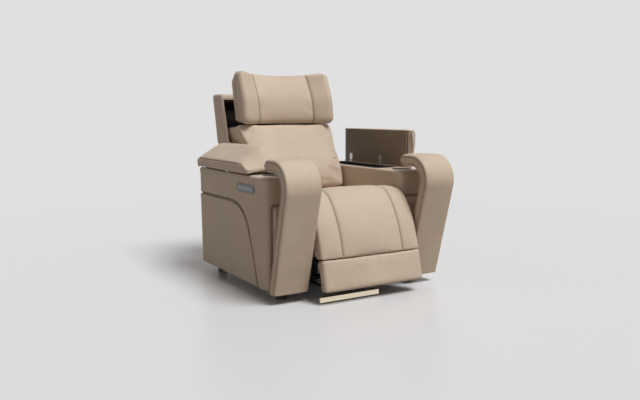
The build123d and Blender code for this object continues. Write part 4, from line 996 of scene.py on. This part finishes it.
def leanBack(piece):
    # The rear edge stands further back at the top than at the floor.
    co = points(piece.data)
    share = np.clip((co[:, 1] - arm["leanFrom"]) / arm["leanOver"], 0, 1)
    rise = np.clip((co[:, 2] - arm["leanFoot"]) / arm["leanRise"], 0, 1)
    co[:, 1] += arm["rearLean"] * share ** 2 * rise
    setPoints(piece.data, co)


def grooveGap(co, normals):
    # Distance from the curved side seam, on the outer side only.
    path = np.array(arm["groove"])
    away = [runGap(co[:, 1:], start, end)[0] for start, end in zip(path[:-1], path[1:])]
    return np.where(np.abs(co[:, 0]) > arm["grooveX"], np.min(away, axis=0), noSeam)


def lowPadSpan(side):
    # Inner and outer X of the low front pad, and the Y of the face behind it.
    low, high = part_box(f"{side}_front_pads")
    near, far = sorted((abs(low.x), abs(high.x)))
    return near + lowPad["gap"], far - lowPad["inset"], low.y


def lowPadGap(co, normals):
    # Distance from the outer and upper edge of the low front pad, on the front only.
    _, outer, front = lowPadSpan("left")
    outer += lowPad["grooveOut"]
    side = np.where(co[:, 2] < lowPad["top"] + lowPad["grooveOver"], besideSeam(co, outer), noSeam)
    over = np.where(np.abs(co[:, 0]) < outer, np.abs(co[:, 2] - lowPad["top"] - lowPad["grooveOut"]), noSeam)
    return np.where(co[:, 1] < front + lowPad["grooveBehind"], np.minimum(side, over), noSeam)


def makeArmBody(side, sign):
    names = [f"{side}_arm_{part}" for part in ("outer_panel", "inner_panel", "boards", "deck")]
    low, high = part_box(names[2])
    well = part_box(f"{side}_storage_tray")[0].z - arm["trayGap"]
    lap = arm["lap"]
    filler = (low + Vector((-lap, lap, lap)), Vector((high.x + lap, high.y - lap, well)))
    body = remesh(copyOf(f"{side}ArmBody", [*names, f"{side}_front_pads"], taupe, [filler]), arm["voxel"])
    relax(body, arm["relax"])
    relax(body, arm["frontRelax"], armEdgeWeight(points(body.data), sign))
    # Both seams are pressed in, and painted shade darkens the side seam and the groove round the low front
    # pad.
    sew(body, grooveGap, arm["grooveDepth"], arm["grooveWidth"])
    sew(body, lowPadGap, lowPad["grooveDepth"], lowPad["grooveWidth"], 0.0)
    leanBack(body)
    # Lower inner side faces get black lining cloth: partly a lining below the seat, partly painted shade for
    # the dark gap beside the foot panel.
    body.data.materials.append(blackCloth)
    for face in body.data.polygons:
        if face.normal.x * sign < arm["liningAndShadeTilt"] and face.center.z < arm["liningAndShadeTop"]:
            face.material_index = 1
    finishPiece(body, "base", names)


def makeSidePad(side):
    pad = remesh(copyOf(f"{side}SidePad", [f"{side}_side_pad"], taupe), arm["padVoxel"])
    relax(pad, arm["padRelax"])
    sew(pad, grooveGap, arm["grooveDepth"], arm["grooveWidth"])
    leanBack(pad)
    finishPiece(pad, "base", (f"{side}_side_pad",))


def makeLowPad(side, sign):
    # Plump lower front panel behind the slab; it leans with it.
    look = lowPad
    inner, outer, face = lowPadSpan(side)
    front, rim = face - look["proud"], look["rim"]
    rear, foot, top = front + look["depth"], look["foot"], look["top"]
    places = [(front, foot), (front - look["lean"], top - look["topDrop"]), (front, top), (rear, top),
              (rear, foot)]
    ring = cornerLoop([(*place, *arc) for place, arc in zip(places, look["arcs"])])
    across = np.linspace(inner + rim, outer - rim, look["stations"])
    rings = [[(sign * x, y, z) for y, z in ring] for x in across]
    piece = refine(skinOf(f"{side}LowPad", rings, rim, look["dome"]))
    finishPiece(piece, "base", (f"{side}_front_pads",))


for side, sign in sides.items():
    makeArmBody(side, sign)
    makeSidePad(side)
    makeLowPad(side, sign)


# Curled front slabs: front skin, boxed side bands and a rolled tip, swept from the floor end over the nose

slab = {
    "innerX": 0.285, "thick": 0.056, "lean": math.radians(14.6), "nose": 0.118, "tip": math.radians(76),
    "edge": 0.012, "edgeShare": 0.46, "crown": 0.004, "crownFrom": 0.6, "rim": 0.004, "dome": 0.001,
    "legStations": 40, "noseStations": 30, "topStations": 8, "tipStations": 9, "runs": (12, 7, 20, 7),
    "seam": 0.0022, "seamShadeMark": 0.9, "ripple": (0.11, 0.0010), "seed": 17.0, "fill": 0.6,
}


def slabSections(box):
    # Pairs of (inner, outer) places in (Y, Z) along the slab.
    low, high = box
    lean, thick, nose = slab["lean"], slab["thick"], slab["nose"]
    out, up = np.array([-math.cos(lean), -math.sin(lean)]), np.array([-math.sin(lean), math.cos(lean)])
    centre = np.array([low.y + nose, high.z - nose])
    turnIn, turnOut = centre + out * (nose - thick), centre + out * nose
    legIn = turnIn - up * (turnIn[1] - low.z) / up[1]
    legOut = turnOut - up * (turnOut[1] - low.z) / up[1]
    pairs = [(legIn + (turnIn - legIn) * t, legOut + (turnOut - legOut) * t)
             for t in np.linspace(0, 1, slab["legStations"], endpoint=False)]
    for angle in np.linspace(math.pi + lean, math.pi / 2, slab["noseStations"], endpoint=False):
        spoke = np.array([math.cos(angle), math.sin(angle)])
        pairs.append((centre + spoke * (nose - thick), centre + spoke * nose))
    tip = high.y - thick / 2
    for y in np.linspace(centre[0], tip, slab["topStations"], endpoint=False):
        pairs.append((np.array([y, high.z - thick]), np.array([y, high.z])))
    for angle in np.linspace(0, slab["tip"], slab["tipStations"]):
        y, half = tip + thick / 2 * math.sin(angle), thick / 2 * math.cos(angle)
        pairs.append((np.array([y, high.z - thick / 2 - half]), np.array([y, high.z - thick / 2 + half])))
    return pairs


def slabRing(inner, outer, x0, x1):
    # One section: across X between x0 and x1, through the thickness from inner to outer.
    run = outer - inner
    thick = np.linalg.norm(run)
    edge = min(slab["edge"], slab["edgeShare"] * thick)
    places = ((x0, 0.0), (x1, 0.0), (x1, thick), (x0, thick))
    loop = cornerLoop([(*place, edge, extra) for place, extra in zip(places, slab["runs"])])
    middle, half = (x0 + x1) / 2, (x1 - x0) / 2
    bulge = slab["crown"] * (1 - ((loop[:, 0] - middle) / half) ** 2) * thick / slab["thick"]
    depth = loop[:, 1] + np.where(loop[:, 1] > thick * slab["crownFrom"], bulge, 0.0)
    return [(x, *(inner + run * d / thick)) for x, d in zip(loop[:, 0], depth)]


def sewSlab(mesh, count):
    # Seams along the slab, where the front and rear skins meet the side bands: pressed in and marked with
    # painted shade.
    arcPoints = loopForm["arcPoints"]
    starts = np.cumsum([0, *(arcPoints + run for run in slab["runs"][:3])])
    sewn = [starts[0], starts[1] + arcPoints - 1, starts[2], starts[3] + arcPoints - 1]
    hit = np.isin(np.arange(len(mesh.vertices)) % count, sewn)
    setPoints(mesh, points(mesh) - outward(mesh) * (slab["seam"] * hit)[:, None])
    mark(mesh, "seam", hit * slab["seamShadeMark"])


def makeSlab(side, sign):
    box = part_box(f"{side}_front_slab")
    x0, x1 = sorted((sign * slab["innerX"], box[0].x if sign < 0 else box[1].x))
    rings = [slabRing(inner, outer, x0, x1) for inner, outer in slabSections(box)]
    piece = skinOf(f"{side}FrontSlab", rings, slab["rim"], slab["dome"])
    sewSlab(piece.data, len(rings[0]))
    refine(piece)
    ripple(piece, *slab["ripple"], slab["seed"] + sign)
    finishPiece(piece, "base", (f"{side}_front_slab",))


for side, sign in sides.items():
    makeSlab(side, sign)


# Lid pads: low outer boxing, a long outer slope to a crown near the seat, and a front facet. Both are made
# closed on the right arm, then the right one is turned open about its hinge and the left one mirrored.

lidPad = {
    "outer": 0.4785, "inner": 0.2725, "skirtOuter": 0.4640, "skirtInner": 0.2768, "under": 0.5780,
    "low": 0.5635, "skirt": 0.0015, "lowOuter": 0.5626, "fold": 0.6080, "crownX": 0.3500, "crown": 0.6880,
    "innerTop": 0.6810, "innerSide": 0.6600, "innerBevel": 0.018, "sideDrop": 0.004, "front": -0.196,
    "back": 0.397, "board": (-0.175, 0.391), "lip": 0.5850, "lipLift": 0.020, "lipReach": 0.030,
    "lipCurve": 1.5, "pinch": 0.006, "outerLift": 0.4,
    "facet": {"fold": 0.040, "crown": 0.100, "inner": 0.135}, "facetCurve": 1.5, "tail": 0.035,
    "tailShare": 0.72, "stations": 57, "crowding": 0.10, "rim": 0.008,
    "dome": 0.002, "arcPoints": 6,
    # (radius, points on the run that follows), from the inner skirt over the crown to the outer skirt
    "arcs": [(0.0006, 1), (0.0006, 1), (0.004, 8), (0.016, 2), (0.020, 7), (0.070, 14), (0.010, 5),
             (0.014, 1), (0.0006, 1), (0.0006, 12)],
    "heldLow": 0.006, "heldOuter": 0.003, "heldFront": 0.012, "underTilt": -0.5, "innerTilt": -0.85,
    "seamIn": 0.012, "seamDrop": 0.002, "seamDepth": 0.0018, "seamWidth": 0.0035, "hinge": (0.461, 0.5638),
    "pressure": 3.0, "cap": 0.0045, "calm": 14, "ripple": (0.10, 0.0010, 14.0), "fill": 0.8,
}


def lidRise(y, facet):
    # 0 at the front lip, 1 past the facet, and down again over the round rear end.
    ahead = min(1.0, max(0.0, (y - lidPad["front"]) / facet))
    behind = min(1.0, max(0.0, (lidPad["back"] - y) / lidPad["tail"]))
    tail = lidPad["tailShare"] + (1 - lidPad["tailShare"]) * math.sqrt(1 - (1 - behind) ** 2)
    return (1 - (1 - ahead) ** lidPad["facetCurve"]) * tail


def lidRing(y):
    look = lidPad
    ahead = max(0.0, 1 - (y - look["front"]) / look["lipReach"])
    lift = look["lipLift"] * ahead ** look["lipCurve"]
    pinch = look["pinch"] * ahead ** 2
    inner, outer, low = look["inner"] + pinch, look["outer"] - pinch, look["low"]
    under = look["under"] if look["board"][0] < y < look["board"][1] else low + look["skirt"]

    def height(full, name):
        lifted = look["lip"] + lift * (name != "fold")
        return lifted + (full - look["lip"]) * lidRise(y, look["facet"][name])

    places = [(look["skirtInner"], under + lift), (look["skirtInner"], low + lift), (inner, low + lift),
              (inner, height(look["innerSide"], "inner") - look["sideDrop"]),
              (look["inner"] + look["innerBevel"], height(look["innerTop"], "inner")),
              (look["crownX"], height(look["crown"], "crown")), (outer, height(look["fold"], "fold")),
              (outer, look["lowOuter"]), (look["skirtOuter"], low),
              (look["skirtOuter"], under + look["outerLift"] * lift)]
    return cornerLoop([(*place, *arc) for place, arc in zip(places, look["arcs"])], look["arcPoints"])


def lidSeamGap(co, normals):
    # The fold seam along the outer side, behind the facet.
    behindFacet = co[:, 1] > lidPad["front"] + lidPad["facet"]["fold"]
    onSide = co[:, 0] > lidPad["outer"] - lidPad["seamIn"]
    return np.where(onSide & behindFacet, np.abs(co[:, 2] - lidPad["fold"] + lidPad["seamDrop"]), noSeam)


def heldLid(mesh):
    # Underside, outer edge, front lip and inner side keep their places.
    co, normals = points(mesh), outward(mesh)
    held = (co[:, 2] < lidPad["under"] + lidPad["heldLow"]) | (normals[:, 2] < lidPad["underTilt"])
    held |= np.abs(co[:, 0] - lidPad["outer"]) < lidPad["heldOuter"]
    held |= co[:, 1] < lidPad["front"] + lidPad["heldFront"]
    return held | (normals[:, 0] < lidPad["innerTilt"])


def makeLidPad(side):
    rings = []
    for i in range(lidPad["stations"]):
        t = i / (lidPad["stations"] - 1)
        share = t - lidPad["crowding"] * math.sin(2 * math.pi * t)
        y = lidPad["front"] + (lidPad["back"] - lidPad["front"]) * share
        rings.append([(x, y, z) for x, z in lidRing(y)])
    piece = skinOf(f"{side}LidPad", rings, lidPad["rim"], lidPad["dome"], capRings=3)
    puff(piece, lidPad, heldLid(piece.data))
    refine(piece)
    sew(piece, lidSeamGap, lidPad["seamDepth"], lidPad["seamWidth"])
    ripple(piece, *lidPad["ripple"])
    co = points(piece.data)
    hingeX, hingeZ = lidPad["hinge"]
    if side == "right":
        co = np.column_stack([hingeX + co[:, 2] - hingeZ, co[:, 1], hingeZ + hingeX - co[:, 0]])
    else:
        co[:, 0] *= -1
        piece.data.flip_normals()
    setPoints(piece.data, co)
    finishPiece(piece, f"{side}_lid", (f"{side}_lid_pad",))


for side in sides:
    makeLidPad(side)


# Stage: a pale seamless floor, soft light, and the camera

stage = {"floor": (219, 220, 222), "rough": 0.32, "gloss": 0.16, "bounce": (158, 152, 145), "reach": 60.0,
         "far": (224, 224, 224), "fadeStart": 1.6, "fadeEnd": 5.0}
cameraLook = {"place": (-1.7837, -3.0202, 0.8367), "aim": (0.0240, -0.0227, 0.3945), "focalPixels": 682.3,
              "framePixels": 640.0, "sensorMillimetres": 36.0}
keyLook = {"toward": (0.21, -0.58, 1.0), "distance": 4.0, "strength": 2.85, "spread": math.radians(26)}
skyLook = {"colour": (1.0, 0.93, 0.86, 1.0), "level": 0.24}


def backdropRays(tree):
    # 1 for the rays that show the backdrop: the camera's, and those off shiny or through clear surfaces.
    path = addNode(tree, "LightPath").outputs
    shiny = mathNode(tree, "ADD", path["Is Glossy Ray"], path["Is Transmission Ray"], True)
    return mathNode(tree, "ADD", path["Is Camera Ray"], shiny, True)


def mixShaders(tree, factor, first, second):
    mix = addNode(tree, "MixShader")
    for socket, source in ((0, factor), (1, first), (2, second)):
        tree.links.new(source, mix.inputs[socket])
    return mix.outputs["Shader"]


def makeFloor():
    # Far from the chair the floor shows the plain backdrop tone, so that no horizon shows; what it throws
    # back on to the chair is duller than what the camera sees.
    material, tree, shader = newMaterial("paleFloor", **{"Base Color": linear(stage["floor"]),
                                                        "Roughness": stage["rough"],
                                                        "Specular IOR Level": stage["gloss"]})
    backdrop = addNode(tree, "Emission", {"Color": linear(stage["far"]), "Strength": 1.0})
    away = addNode(tree, "VectorMath", operation="LENGTH")
    tree.links.new(addNode(tree, "NewGeometry").outputs["Position"], away.inputs[0])
    fade = addNode(tree, "MapRange", {"From Min": stage["fadeStart"], "From Max": stage["fadeEnd"]},
                   interpolation_type="SMOOTHSTEP")
    tree.links.new(away.outputs["Value"], fade.inputs["Value"])
    dull = addNode(tree, "BsdfDiffuse", {"Color": linear(stage["bounce"])})
    seen = mixShaders(tree, fade.outputs["Result"], shader.outputs["BSDF"], backdrop.outputs["Emission"])
    whole = mixShaders(tree, backdropRays(tree), dull.outputs["BSDF"], seen)
    tree.links.new(whole, tree.nodes["Material Output"].inputs["Surface"])
    half = stage["reach"]
    floor = pieceFrom("studioFloor", [(-half, -half, 0), (half, -half, 0), (half, half, 0), (-half, half, 0)],
                      [(0, 1, 2, 3)], material)


def makeSky():
    world = bpy.data.worlds.new("softRoom")
    world.use_nodes = True
    tree = world.node_tree
    room = tree.nodes["Background"]
    room.inputs["Color"].default_value = skyLook["colour"]
    room.inputs["Strength"].default_value = skyLook["level"]
    backdrop = addNode(tree, "Background", {"Color": linear(stage["far"]), "Strength": 1.0})
    whole = mixShaders(tree, backdropRays(tree), room.outputs["Background"], backdrop.outputs["Background"])
    tree.links.new(whole, tree.nodes["World Output"].inputs["Surface"])
    bpy.context.scene.world = world


def aimed(thing, place, aim):
    thing.location = place
    thing.rotation_euler = (Vector(aim) - Vector(place)).to_track_quat("-Z", "Y").to_euler()
    bpy.context.scene.collection.objects.link(thing)


def makeKey():
    lamp = bpy.data.lights.new("keySun", "SUN")
    lamp.energy = keyLook["strength"]
    lamp.angle = keyLook["spread"]
    place = keyLook["distance"] * Vector(keyLook["toward"])
    aimed(bpy.data.objects.new("keySun", lamp), place, (0.0, 0.0, 0.0))


def makeCamera():
    lens = bpy.data.cameras.new("photoView")
    lens.sensor_width = cameraLook["sensorMillimetres"]
    lens.lens = cameraLook["focalPixels"] / cameraLook["framePixels"] * lens.sensor_width
    view = bpy.data.objects.new("photoView", lens)
    aimed(view, cameraLook["place"], cameraLook["aim"])
    bpy.context.scene.camera = view


makeFloor()
makeSky()
makeKey()
makeCamera()
bpy.context.scene.view_settings.view_transform = "Standard"
print("stage, lamps and camera placed")
